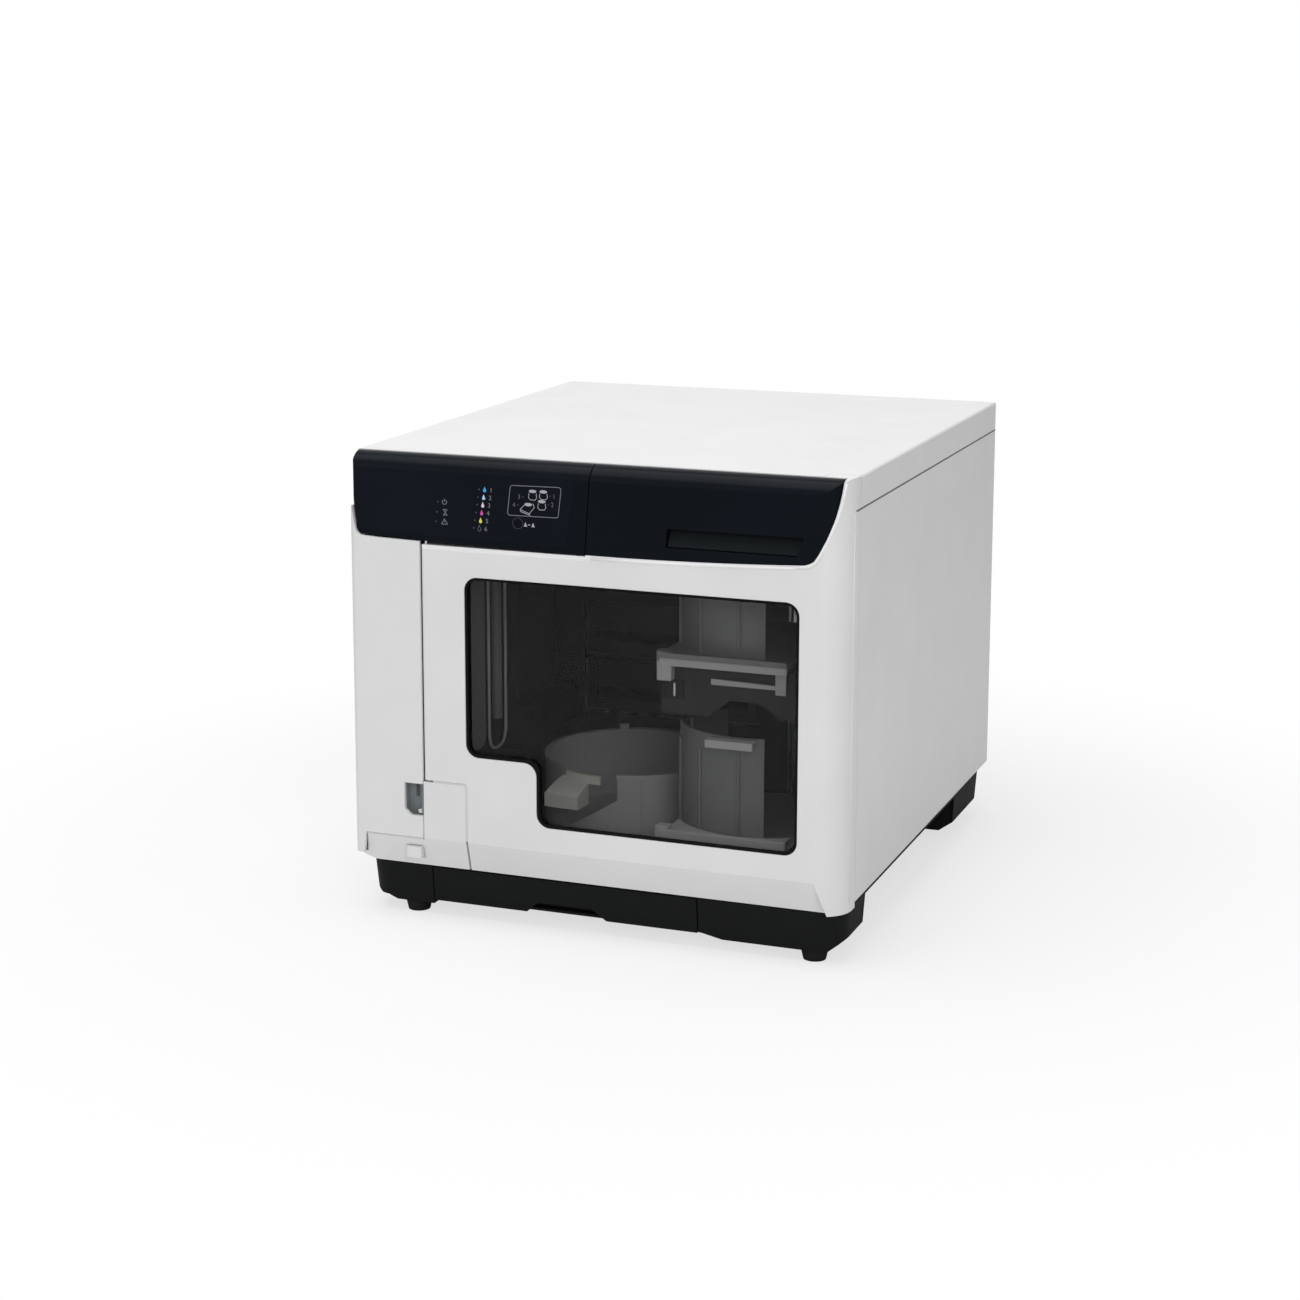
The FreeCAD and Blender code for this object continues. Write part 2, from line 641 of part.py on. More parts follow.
def panel_edge(gap):
    """Lower edge of the control panel from right to left, and its left edge up to where it is
    upright, all moved outwards by a gap."""
    low = S.BandBottom
    return [(S.BandSeam + 1, low - 1.0 - gap),
            (-165, low + 2.2 - gap, (-75, number(low) - 0.4 - gap)),
            (-177 - gap * 0.3, low + 2.9 - gap),
            (-182.8 - gap * 0.8, low + 8.5 - gap * 0.5,
             (-181.2 - gap * 0.6, number(low) + 4.7 - gap * 0.8)),
            (S.BandLeft - gap, low + 30, (-185.2 - gap, number(low) + 18))]


def control_panel():
    """Fixed left part of the dark band with the seats of its lamps and its button."""
    body = new_body("control_panel")
    left, right = S.BandLeft, S.BandSeam
    pad(body, "x", [strip_profile()], left, right)
    far_low, far_high = S.BandBottom - 20, S.Top + 1
    below = panel_edge(0.0) + [(left - 1, S.BandBottom + 30), (left - 1, far_low),
                               (right + 1, far_low)]
    pocket(body, "y", [below], S.Front - 1, S.Front + S.StripDepth + 1)
    leaning = [(seam_x(far_low) - SEAM_GAP, far_low), (right + 1, far_low), (right + 1, far_high),
               (seam_x(far_high) - SEAM_GAP, far_high)]
    pocket(body, "y", [leaning], S.Front - 1, S.Front + S.StripDepth + 1)
    inside = S.Front + S.BandInset + PANEL_WALL
    pocket(body, "y", [rect(left + 6, S.BandBottom + 16, right - 9, S.Top - S.StripHeight - 3)],
           inside, S.Front + S.StripDepth + 1)
    pocket(body, "y", [(CLEAN_BUTTON[0], CLEAN_BUTTON[1], BUTTON_RADIUS + 0.08)],
           S.Front - 1, inside + 2)
    pocket(body, "z", [(S.CoverLeft + S.HingeInset, S.Front + S.HingeInset, PIN_RADIUS)],
           S.BandBottom - 2, S.BandBottom + PIN_SEAT)
    front = number(S.Front + S.BandInset)

    def left_corner(edge):
        start, end = edge.Vertexes[0].Point, edge.Vertexes[-1].Point
        return (abs(start.x - left.value) < 0.01 and abs(end.x - left.value) < 0.01
                and abs(start.y - front) < 0.01 and abs(end.y - front) < 0.01
                and abs(start.z - end.z) > 5)

    round_edges(body, 3.0, left_corner)


CLEAN_BUTTON = (-55.5, 303.5)
BUTTON_RADIUS = 3.3
POWER_BUTTON = (-140.4, 51.6)
PIN_RADIUS = 1.0
PIN_SEAT = 4.0


def clean_button():
    """Small round push button in the control panel."""
    x, z = CLEAN_BUTTON
    cap = cylinder(x, S.Front + S.BandInset - 0.4, z, BUTTON_RADIUS, 3.4, along="y")
    stem = cylinder(x, S.Front + S.BandInset + 3.0, z, 1.6, 8, along="y")
    keep(fuse(cap, stem), "clean_button")


def slope_y(z):
    """Front face of the sloping strip at a height below the crease."""
    share = (S.Crease.value - number(z)) / (S.Crease.value - S.FrontBottom.value)
    return S.Front + S.SlopeDepth * share


def slope_wedge(body, left, right_top, right_bottom):
    """Cut the inward slope below the crease, ending in a diagonal at the right."""
    low = S.FrontBottom - 2
    near = [(left, low), (right_bottom, low), (right_top, S.Crease), (left, S.Crease)]
    far = [(left, low - 0.6), (right_bottom, low - 0.6), (right_bottom - 0.2, low), (left, low)]
    loft_pocket(body, "y", S.Front, near, slope_y(low), far)


DIAGONAL_TOP = 10.5
DIAGONAL_BOTTOM = 7.3
FLAP_LEAN = 1.7
CORNER_RISE = 6.8


def lower_front_panel():
    """Fixed sloping panel under the ink cover with a raised flap and the power button's seat."""
    body = new_body("lower_front_panel")
    left_top, left_low = -S.Side + DIAGONAL_TOP, -S.Side + DIAGONAL_BOTTOM
    flap_left = S.ColumnRight + SEAM_GAP
    end = -S.Side + 1
    outline = [(end + 12, S.FrontBottom), (S.FlapRight - FLAP_LEAN, S.FrontBottom),
               (S.FlapRight, S.Crease), (S.FlapRight, S.FlapTop - 1.2),
               (S.FlapRight - 1.2, S.FlapTop), (flap_left, S.FlapTop),
               (flap_left, S.Crease - 1), (left_top, S.Crease - 1),
               (left_low, S.FrontBottom + CORNER_RISE), (end, S.FrontBottom + CORNER_RISE),
               (end + 4, S.FrontBottom + 3)]
    rear = S.Front + 16
    pad(body, "y", [outline], S.Front, rear)
    slope_wedge(body, -S.Side - 2, S.FlapRight + 6, S.FlapRight + 6)
    pocket(body, "y", [rect(flap_left + 6, S.Crease + 2, S.FlapRight - 4, S.FlapTop - 4)],
           S.Front + 3, rear + 1)
    x, z = POWER_BUTTON
    pocket(body, "y", [rect(x - 7.0, z - 5.4, x + 7.0, z + 5.6)], S.Front - 1, rear + 1)
    pocket(body, "z", [(S.CoverLeft + S.HingeInset, S.Front + S.HingeInset, PIN_RADIUS)],
           S.FlapTop - PIN_SEAT, S.FlapTop + 1)


def power_button():
    """Rectangular push button with an upright face, which stands out of the sloping panel."""
    body = new_body("power_button")
    x, z = POWER_BUTTON
    face, rear = S.Front + 0.6, S.Front + 12
    pad(body, "y", [rounded(rect(x - 5.7, z - 4.4, x + 5.7, z + 4.4), 0.8)], face, rear)
    pad(body, "y", [(x, z, 2.2)], rear, rear + 7)


NOTCH_LEFT, NOTCH_LOW, NOTCH_HIGH = -147.0, 80.0, 104.5
RIM_WIDTH = 2.8


INK_WRAP = 16.2
INK_STRIP_TOP = 23.0
SEAM_TURN = 1.4
HINGE_TURN = 1.2


def ink_cover():
    """Tall cover of the ink bay, hinged at the left, with a finger notch at its lower right."""
    body = new_body("ink_cover")
    left, right, skin = -S.Side, S.ColumnRight, S.FrontSkin
    wrap = S.Front + INK_WRAP
    low = S.FrontBottom + 0.4
    high = S.BandBottom + INK_STRIP_TOP
    pad(body, "z", [rect(left, S.Front, right, wrap)], low, high)
    front = S.Front.value

    def outer_corner(edge):
        point = edge.Vertexes[0].Point
        return is_upright(edge) and abs(point.y - front) < 1e-6 and abs(point.x - left.value) < 1e-6

    def seam_edge(edge):
        point = edge.Vertexes[0].Point
        return is_upright(edge) and abs(point.y - front) < 1e-6 and abs(point.x - right.value) < 1e-6

    def hinge_edge(edge):
        point = edge.Vertexes[0].Point
        return is_upright(edge) and point.y > front + 1 and abs(point.x - left.value) < 1e-6

    turn = 5.0
    round_edges(body, turn, outer_corner)
    round_edges(body, SEAM_TURN, seam_edge)
    round_edges(body, HINGE_TURN, hinge_edge)
    inner = turn - number(skin)
    via = (number(left) + turn - inner * math.sin(math.pi / 4),
           front + turn - inner * math.cos(math.pi / 4))
    hollow = [(right + 1, S.Front + skin), (right + 1, wrap + 1), (left + skin, wrap + 1),
              (left + skin, S.Front + turn), (left + turn, S.Front + skin, via)]
    pocket(body, "z", [hollow], low - 1, high + 1)
    # the top edge follows the control panel and leaves a thin strip standing at its left
    above = panel_edge(1.0)[:-1] + [(S.BandLeft - 0.7, high + 1), (right + 3, high + 1)]
    above[0] = (right + 3, S.BandBottom + 0.4)
    above[1] = (-165, S.BandBottom + 1.2)
    pocket(body, "y", [above], S.Front - 1, wrap + 1)
    # the fixed lower panel takes the lower right, up to the crease and along a diagonal
    below = [(left + DIAGONAL_BOTTOM - 0.9, low - 1), (right + 1, low - 1), (right + 1, S.Crease),
             (left + DIAGONAL_TOP - 0.9, S.Crease)]
    pocket(body, "y", [below], S.Front - 1, S.Front + skin + 3)
    notch = [(NOTCH_LEFT, NOTCH_HIGH), (NOTCH_LEFT, NOTCH_LOW + 4.5), (NOTCH_LEFT + 5, NOTCH_LOW),
             (right + 1, NOTCH_LOW), (right + 1, NOTCH_HIGH)]
    pocket(body, "y", [notch], S.Front - 1, S.Front + skin + 1)
    # its lower left corner ends above the corner of the lower panel
    end = S.FrontBottom + CORNER_RISE + 0.7
    lower_corner = [(left - 1, low - 1), (left + 12, low - 1), (left + 12, end), (left + 2.5, end),
                    (left, end + 2.5, (left.value + 0.73, number(end) + 0.73)),
                    (left - 1, end + 2.5)]
    pocket(body, "y", [lower_corner], S.Front - 1, wrap + 1)


def corner_outside(inset):
    """Plan outline of what the rounded front right corner leaves out, drawn in by an inset."""
    centre_x, centre_y = S.Side - S.FrontCorner, S.Front + S.FrontCorner
    radius = number(S.FrontCorner - inset)
    via = (centre_x.value + radius * math.sin(math.pi / 4),
           centre_y.value - radius * math.cos(math.pi / 4))
    return [(centre_x, S.Front + inset, via), (centre_x, S.Front - 3), (S.Side + 3, S.Front - 3),
            (S.Side + 3, centre_y), (S.Side - inset, centre_y)]


def band_outline(grow=0.0):
    """Front outline of the dark band on the disc cover; grow widens it below and at the right."""
    low, right = S.BandBottom - 1.0 - grow, 1.6 * grow
    return [(seam_x(low), low),
            (BAND_RIGHT, BAND_RIGHT_Z - grow, (76.0, S.BandBottom.value - 0.2 - grow)),
            (164 + right * 0.6, 291.5 - grow, (160.2 + right * 0.3, 289.2 - grow)),
            (178.6 + right, 323, (172.2 + right, 306)),
            (183 + right, S.Top + 1, (181.4 + right, 336)),
            (seam_x(S.Top + 1), S.Top + 1)]


def window_outline(inset):
    """The window with its step at the lower left, drawn in by an inset."""
    left, right = S.WindowLeft + inset, S.WindowRight - inset
    top, bottom = S.WindowTop - inset, S.WindowBottom + inset
    corners = [(S.WindowStepRight + inset, bottom), (right, bottom), (right, top), (left, top),
               (left, S.WindowStep + inset), (S.WindowStepRight + inset, S.WindowStep + inset)]
    return rounded(corners, S.WindowCorner.value - min(inset, 4))


def disc_cover_frame():
    """White frame of the hinged disc cover, wrapping the right corner, with the window opening."""
    body = new_body("disc_cover_frame")
    left, right, low = S.CoverLeft, S.Side, S.FrontBottom
    rear, strip = S.Front + S.FrontDepth, S.Front + S.StripDepth
    bend = S.Top - S.StripHeight
    pad(body, "x", [[(rear, low), (rear, S.Top), (strip, S.Top),
                     (S.Front, bend, crest(strip, S.Top, S.Front, bend)), (S.Front, low)]],
        left, right)
    pocket(body, "z", [corner_outside(0.0)], low - 1, S.Top + 1)
    slope_wedge(body, left - 1, 166.5, 177)
    skin = S.FrontSkin
    corner_x = S.Side - S.FrontCorner
    flap_x, flap_z = S.FlapRight + S.Gap, S.FlapTop + S.Gap
    # the back is hollow up to a rim all round
    back = [(flap_x + skin, S.Crease + 2.5), (corner_x, S.Crease + 2.5),
            (corner_x, S.BandBottom - 5), (left + skin, S.BandBottom - 5),
            (left + skin, flap_z + skin), (flap_x + skin, flap_z + skin)]
    pocket(body, "y", [back], S.Front + skin, rear + 1)
    pocket(body, "y", [rect(flap_x + skin, low + skin, corner_x + 8, S.Crease + 2.5)],
           S.Front + S.SlopeDepth + 4, rear + 1)
    inner = S.FrontCorner - skin
    centre_y = S.Front + S.FrontCorner
    via = (corner_x.value + inner.value * math.sin(math.pi / 4),
           centre_y.value - inner.value * math.cos(math.pi / 4))
    hollow = [(corner_x - 1, S.Front + skin), (corner_x, S.Front + skin),
              (S.Side - skin, centre_y, via), (S.Side - skin, rear + 1), (corner_x - 1, rear + 1)]
    pocket(body, "z", [hollow], S.Crease + 2.5, S.Top - skin)
    # seat of the dark band with a slanted edge below and at the right of it
    loft_pocket(body, "y", S.Front - 0.1, band_outline(RIM_WIDTH), S.Front + S.BandInset,
                band_outline())
    pocket(body, "y", [band_outline()], S.Front, strip)
    over = S.BandBottom - 1.9
    beside = [(left - 1, over), (seam_x(over), over), (seam_x(S.Top + 1), S.Top + 1),
              (left - 1, S.Top + 1)]
    pocket(body, "y", [beside], S.Front - 1, rear + 1)
    pocket(body, "x", [[(S.Front - 1, over - RIM_WIDTH), (S.Front, over - RIM_WIDTH),
                        (S.Front + S.BandInset, over), (S.Front + S.BandInset, over + 1),
                        (S.Front - 1, over + 1)]], left - 1, seam_x(over))
    pocket(body, "x", [rect(strip, over, rear + 1, S.Top + 1)], left - 1, corner_x - 0.2)
    flap = [(left - 1, low - 1), (flap_x - FLAP_LEAN, low - 1), (flap_x, S.Crease),
            (flap_x, flap_z - 1.8), (flap_x - 1.8, flap_z), (left - 1, flap_z)]
    pocket(body, "y", [flap], S.Front - 1, rear + 1)
    pocket(body, "y", [window_outline(0)], S.Front - 1, S.Front + skin + 1)
    hinge_x, hinge_y = left + S.HingeInset, S.Front + S.HingeInset
    for z in (flap_z, over - skin):
        pocket(body, "z", [(hinge_x, hinge_y, PIN_RADIUS + 0.05)], z - 1, z + skin + 1)
    front = S.Front.value

    def hinge_edge(edge):
        point = edge.Vertexes[0].Point
        return is_upright(edge) and abs(point.y - front) < 1e-6 and abs(point.x - left.value) < 1e-6

    round_edges(body, S.HingeInset.value, hinge_edge)


def cover_hinge_pins():
    """Two steel pins on which the disc cover turns."""
    x, y = S.CoverLeft + S.HingeInset, S.Front + S.HingeInset
    lower = cylinder(x, y, S.FlapTop - PIN_SEAT, PIN_RADIUS, PIN_SEAT + S.Gap + S.FrontSkin)
    upper_low = S.BandBottom - 1.9 - S.FrontSkin
    upper = cylinder(x, y, upper_low, PIN_RADIUS, S.BandBottom + PIN_SEAT - upper_low)
    keep(fuse(lower, upper), "cover_hinge_pins")


def disc_cover_band():
    """Dark right part of the band, part of the disc cover, with the finger grip."""
    body = new_body("disc_cover_band")
    left, right = S.BandSeam - S.SeamLean - 2, S.Side
    pad(body, "x", [strip_profile()], left, right)
    margin = 40.0
    outside = rect(left - margin, S.BandBottom - margin, right + margin, S.Top + margin)
    pocket(body, "y", [outside, band_outline()], S.Front - 1, S.Front + S.StripDepth + 1)
    corner_x = S.Side - S.FrontCorner
    pocket(body, "z", [corner_outside(S.BandInset)], S.BandBottom - 5, S.Top + 1)
    inside = S.Front + S.BandInset + PANEL_WALL
    under_crest = S.Top - S.StripHeight - 3
    hollows = [rect(S.BandSeam + 3, S.BandBottom + 5, S.GripLeft - 3, under_crest),
               rect(S.GripLeft, S.GripTop + 4, corner_x - 4, under_crest)]
    pocket(body, "y", hollows, inside, S.Front + S.StripDepth + 1)
    grip = [(S.GripLeft, S.GripBottom), (S.GripRight - 5, S.GripBottom), (S.GripRight, S.GripTop),
            (S.GripLeft + 1, S.GripTop)]
    pocket(body, "y", [grip], S.Front - 1, S.Front + S.BandInset + S.GripDepth)


def disc_cover_window():
    """Smoked pane behind the opening of the disc cover."""
    body = new_body("disc_cover_window")
    rear = S.Front + S.FrontSkin
    pad(body, "y", [window_outline(-6)], rear, rear + 2)


def window_gasket():
    """Dark rim that lines the window opening in front of the pane."""
    body = new_body("window_gasket")
    rear = S.Front + S.FrontSkin
    pad(body, "y", [window_outline(0), window_outline(2.2)], S.Front + 0.8, rear)


# ----------------------------------------------------------------------------------------------
# Handling chamber
# ----------------------------------------------------------------------------------------------
CHAMBER_FRONT = -200.0
CHANNEL_NEAR, CHANNEL_FAR = -134.0, -96.0
CHANNEL_LOW, CHANNEL_HIGH = 108.0, 300.0
RAIL_HIGH = 126.0
MOTOR_RADIUS = 16.0


def chamber_left_wall():
    """Left liner with the tall pill-shaped channel and its folded front rim."""
    body = new_body("chamber_left_wall")
    outer = S.ChamberLeft - 2
    pad(body, "x", [rect(CHAMBER_FRONT, S.BaseTop, S.ChamberRear, S.SideSeam - 2)],
        outer, S.ChamberLeft)
    channel = rect(CHANNEL_NEAR, CHANNEL_LOW, CHANNEL_FAR, CHANNEL_HIGH)
    rim = rect(CHANNEL_NEAR - 4, CHANNEL_LOW - 4, CHANNEL_FAR + 4, CHANNEL_HIGH + 4)
    pad(body, "x", [rounded(rim, 22.9)], outer - 3, S.ChamberLeft + 2.5)
    pocket(body, "x", [rounded(channel, 18.9)], outer - 1.5, S.ChamberLeft + 3)
    for y in (-190.0, -172.0, -76.0):
        pad(body, "x", [rect(y, 134, y + 3, 300)], S.ChamberLeft, S.ChamberLeft + 2)


def chamber_right_wall():
    """Right liner with stepped pockets and cross ribs."""
    body = new_body("chamber_right_wall")
    pad(body, "x", [rect(CHAMBER_FRONT, S.BaseTop, S.ChamberRear, S.SideSeam - 2)],
        S.ChamberRight, S.ChamberRight + 4)
    for z0, z1 in ((64, 92), (104, 126), (140, 178), (214, 250), (262, 300)):
        pocket(body, "x", [rounded(rect(-186, z0, -140, z1), 3), rounded(rect(-130, z0, -70, z1), 3)],
               S.ChamberRight - 1, S.ChamberRight + 2)
    for z in (98.0, 133.0, 206.0):
        pad(body, "x", [rect(-190, z - 1.5, -52, z + 1.5)], S.ChamberRight - 5, S.ChamberRight)


def chamber_rear_wall():
    """Rear wall of the chamber with openings for the disc drives and the print unit's tray."""
    body = new_body("chamber_rear_wall")
    pad(body, "y", [rect(S.ChamberLeft, S.BaseTop, S.ChamberRight, S.SideSeam - 2)],
        S.ChamberRear, S.ChamberRear + 2)
    half = S.DriveWidth * 0.5 + 1
    for z in (S.Drive1Z, S.Drive2Z):
        pocket(body, "y", [rect(S.StackLeft - half, z - 1, S.StackLeft + half, z + S.DriveHeight + 1)],
               S.ChamberRear - 1, S.ChamberRear + 3)
    pocket(body, "y", [rect(S.StackLeft - 68, S.PrinterZ + 5, S.StackLeft + 68, S.PrinterZ + 22)],
           S.ChamberRear - 1, S.ChamberRear + 3)
    pocket(body, "y", [(belt_x(), S.BeltBottom, MOTOR_RADIUS + 0.5)],
           S.ChamberRear - 1, S.ChamberRear + 3)


def ring_sector(x, y, outer, inner, start, end):
    """Plan outline of a ring between two angles, both in degrees."""
    a, b = math.radians(start), math.radians(end)
    middle = (a + b) / 2

    def on_ring(radius, angle):
        return x + number(radius) * math.cos(angle), y + number(radius) * math.sin(angle)

    def via(radius):
        px, py = on_ring(radius, middle)
        return number(px), number(py)

    return [on_ring(outer, a), on_ring(outer, b) + (via(outer),),
            on_ring(inner, b), on_ring(inner, a) + (via(inner),)]


def bin_base(body, x, y, z, radius):
    """Floor disc of a disc bin with its lift hole."""
    pad(body, "z", [(x, y, radius + S.BinWall)], z, z + 3)
    pocket(body, "z", [(x, y, 17)], z - 1, z + 4)


def bin_arcs(body, x, y, z, arcs):
    """Arc walls of a tall bin: (from, to, top), plan degrees and height."""
    for start, end, top in arcs:
        outline = ring_sector(x, y, S.WellRadius + S.BinWall, S.WellRadius, start, end)
        pad(body, "z", [outline], z, top)


def tall_bin(label, z):
    """Stacker 1 or 2: a flanged bin with a front wall, a rear wall and a lip to pull it by."""
    x, y = S.StackRight, S.StackRightY
    top = z + S.BinHeight
    body = new_body(label)
    bin_base(body, x, y, z, S.WellRadius)
    pad(body, "z", [rounded(rect(x - 58, y - 73, x + 41, y - 22), 7), (x, y, 17)], z, z + 3)
    # raised front lip of the flange and the foot at its left corner
    pad(body, "y", [rounded(rect(x - 56, z, x + 39, z + 5), 2.2)], y - 74.5, y - 71.5)
    pad(body, "z", [rounded(rect(x - 59, y - 74, x - 50, y - 65), 2)], z - 4, z + 6)
    bin_arcs(body, x, y, z, [(-166, -73, top), (136, 171, top - 8), (10, 62, top - 8)])
    grip = rounded(rect(x - 22, y - 69, x + 13, y - 60.5), 3.5)
    pad(body, "z", [grip], top - 5, top - 1)
    # ribs behind the walls
    for angle in (-150, -120, -90, 28, 46):
        a = math.radians(angle)
        reach = S.WellRadius.value + S.BinWall.value + 0.6
        rib = (x + reach * math.cos(a), y + reach * math.sin(a), 1.2)
        pad(body, "z", [rib], z, top - 12)


def stacker_1():
    tall_bin("stacker_1", S.Stacker1Z)


def stacker_2():
    tall_bin("stacker_2", S.Stacker2Z)


def stacker_3():
    """Low round bin on the chamber floor, cut away at its left front, with a thicker back."""
    body = new_body("stacker_3")
    x, y, z = S.StackLeft, S.StackLeftY, S.Stacker3Z
    inner, top = S.LowWellRadius, S.Stacker3Rim
    outer = inner + S.BinWall
    bin_base(body, x, y, z, inner)
    pad(body, "z", [(x, y, outer), (x, y, inner)], z, top)
    pad(body, "z", [(x, y, outer + 1.5), (x, y, outer - 0.5)], top - 3, top)
    pad(body, "z", [ring_sector(x, y, inner + 0.5, inner - 1.8, 24, 148)], z, top)
    pad(body, "z", [ring_sector(x, y, outer, inner - 1.8, 116, 122)], z, top + 4)
    cut_out = [(x - 32.5, top + 1), (x - 32.5, z + 8), (x + 10.8, z + 35), (x + 10.8, top + 1)]
    pocket(body, "y", [cut_out], y - 74, y - 30)
    seam = math.radians(-66)
    pocket(body, "z", [(x + (outer.value + 0.3) * math.cos(seam),
                        y + (outer.value + 0.3) * math.sin(seam), 0.9)], z - 1, top - 3)


def stacker_3_tab():
    """Pale lever at the open left front of stacker 3: a sloping thumb rest on a curved arm."""
    body = new_body("stacker_3_tab")
    x, y, top = S.StackLeft, S.StackLeftY, S.Stacker3Rim
    rest = [(x - 41.3, y - 85), (x - 13.8, y - 87), (x - 12, y - 69), (x - 36.5, y - 61.5)]
    pad(body, "z", [rest], top - 25, top - 4)
    over = [(y - 59, top - 5.5), (y - 89, top - 15.7, (y - 75, number(top) - 9.5)),
            (y - 89, top), (y - 59, top)]
    pocket(body, "x", [over], x - 50, x)
    front, low = number(y) - 80, number(top) - 20

    def thumb_edge(edge):
        return not is_upright(edge) and all(v.Z > low for v in edge.Vertexes) and (
            any(v.Y < front for v in edge.Vertexes))

    round_edges(body, 1.5, thumb_edge)
    low_wall = S.LowWellRadius
    pad(body, "z", [ring_sector(x, y, low_wall + 3.4, low_wall + 0.2, -117.6, -92)], top - 9, top - 2.5)


def stacker_1_holder():
    """Dark cradle of stacker 1: a plate on side brackets with an arched apron in front."""
    body = new_body("stacker_1_holder")
    x, y = S.StackRight, S.StackRightY
    low, high = S.HolderBottom, S.Stacker1Z - 4.2
    pad(body, "z", [rounded(rect(x - 58, y - 62, S.ChamberRight, y + 64), 8)], high - 6, high)
    apron = [(x - 58, low), (x - 22, low), (x - 6, low + 13, (x - 16, number(low) + 5)),
             (x + 10, low + 13), (x + 30, low + 2, (x + 21, number(low) + 10)),
             (x + 57, low + 2), (x + 57, high), (x - 58, high)]
    pad(body, "y", [apron], y - 65, y - 60)
    pad(body, "z", [rounded(rect(x - 58, y - 65, x - 36, y - 50), 4)], low, high)
    pad(body, "y", [rect(x + 57, low, S.ChamberRight, high)], y - 65, y - 60)
    pad(body, "x", [rect(y - 65, low, y + 64, high)], S.ChamberRight - 6, S.ChamberRight)
    pocket(body, "z", [(x, y, 40)], high - 7, high + 1)
    pad(body, "z", [rounded(rect(x + 52, y + 60, S.ChamberRight, S.ChamberRear), 3)], high - 6, high)


def stacker_rail():
    """Dark rail along the left chamber wall beside stacker 3, with two end bosses."""
    body = new_body("stacker_rail")
    wall = S.ChamberLeft + 2.5
    profile = [(wall, 104), (wall + 14, 104), (wall + 22, 112), (wall + 22, 120), (wall, RAIL_HIGH)]
    pad(body, "y", [profile], -168, -6)
    for y in (-160.0, -128.0):
        pad(body, "z", [(wall + 12, y, 4)], 112, 129)


def channel_rod():
    """Bright upright rod standing in the channel of the left wall."""
    x, y = S.ChamberLeft + 0.5, (CHANNEL_NEAR + CHANNEL_FAR) / 2
    low, high = RAIL_HIGH + 1, CHANNEL_HIGH - 1
    keep(cylinder(x, y, low, 4.0, high - low), "channel_rod")


# ----------------------------------------------------------------------------------------------
# Pick arm
# ----------------------------------------------------------------------------------------------
CARRIAGE_HEIGHT = 24.0
ARM_PLATE = 7.0
BORE_PLAY = 0.06
ROD_OVER_BELT = 13.4
PLUNGER_STROKE = 3.0


def arm_guide_rods():
    """Two ground steel rods from the chamber floor to the top bracket."""
    top = S.BeltTop + ROD_OVER_BELT
    rods = [cylinder(x, S.RodY, S.BaseTop, S.RodRadius, top - S.BaseTop)
            for x in (S.RodLeft, S.RodRight)]
    keep(fuse(*rods), "arm_guide_rods")


def belt_x():
    return (S.RodLeft + S.RodRight) * 0.5


def arm_bracket():
    """Bent steel bracket behind the belt that carries the pulleys and the tops of the rods."""
    body = new_body("arm_bracket")
    x0, x1 = S.RodLeft - 12, S.RodRight + 12
    top = S.BeltTop + ROD_OVER_BELT
    pad(body, "y", [rect(x0, S.BaseTop, x1, top)], S.RodY + 19, S.RodY + 22)
    pocket(body, "y", [rounded(rect(x0 + 10, 96, x1 - 10, 300), 6)], S.RodY + 18, S.RodY + 23)
    lug = rect(x0, S.RodY - 8, x1, S.RodY + 19)
    pad(body, "z", [lug, (S.RodLeft, S.RodY, S.RodRadius), (S.RodRight, S.RodY, S.RodRadius)],
        top - 2.4, top)
    for z in (S.BeltBottom, S.BeltTop):
        pad(body, "y", [(belt_x(), z, 2.0)], S.RodY - 6, S.RodY + 20)


def arm_belt():
    """Toothed belt round both pulleys."""
    body = new_body("arm_belt")
    x, low, high = belt_x(), S.BeltBottom, S.BeltTop
    outer, inner = S.PulleyRadius + 1.6, S.PulleyRadius + 0.3
    pad(body, "y", [stadium(x, low, high, outer), stadium(x, low, high, inner)],
        S.RodY - 4, S.RodY + 2)


def stadium(x, low, high, radius):
    """Outline of a belt loop round two equal pulleys above each other."""
    cx = number(x)
    return [(x + radius, low, (cx, number(low) - number(radius))), (x + radius, high),
            (x - radius, high, (cx, number(high) + number(radius))), (x - radius, low)]


def belt_pulley(label, z):
    """Flanged pulley with a bore and toothed rim."""
    body = new_body(label)
    x = belt_x()
    pad(body, "y", [(x, z, S.PulleyRadius), (x, z, 2.0 + BORE_PLAY)], S.RodY - 4.5, S.RodY + 2.5)
    pad(body, "y", [(x, z, S.PulleyRadius + 1.4), (x, z, 2.0 + BORE_PLAY)],
        S.RodY - 5.8, S.RodY - 4.5)
    pad(body, "y", [(x, z, S.PulleyRadius + 1.4), (x, z, 2.0 + BORE_PLAY)],
        S.RodY + 2.5, S.RodY + 3.8)
    teeth = 12
    for i in range(teeth):
        angle = 2 * math.pi * i / teeth
        reach = S.PulleyRadius.value
        groove = (x + reach * math.cos(angle), z + reach * math.sin(angle), 0.7)
        pocket(body, "y", [groove], S.RodY - 4.4, S.RodY + 2.4)


def arm_pulley_lower():
    belt_pulley("arm_pulley_lower", S.BeltBottom)


def arm_pulley_upper():
    belt_pulley("arm_pulley_upper", S.BeltTop)


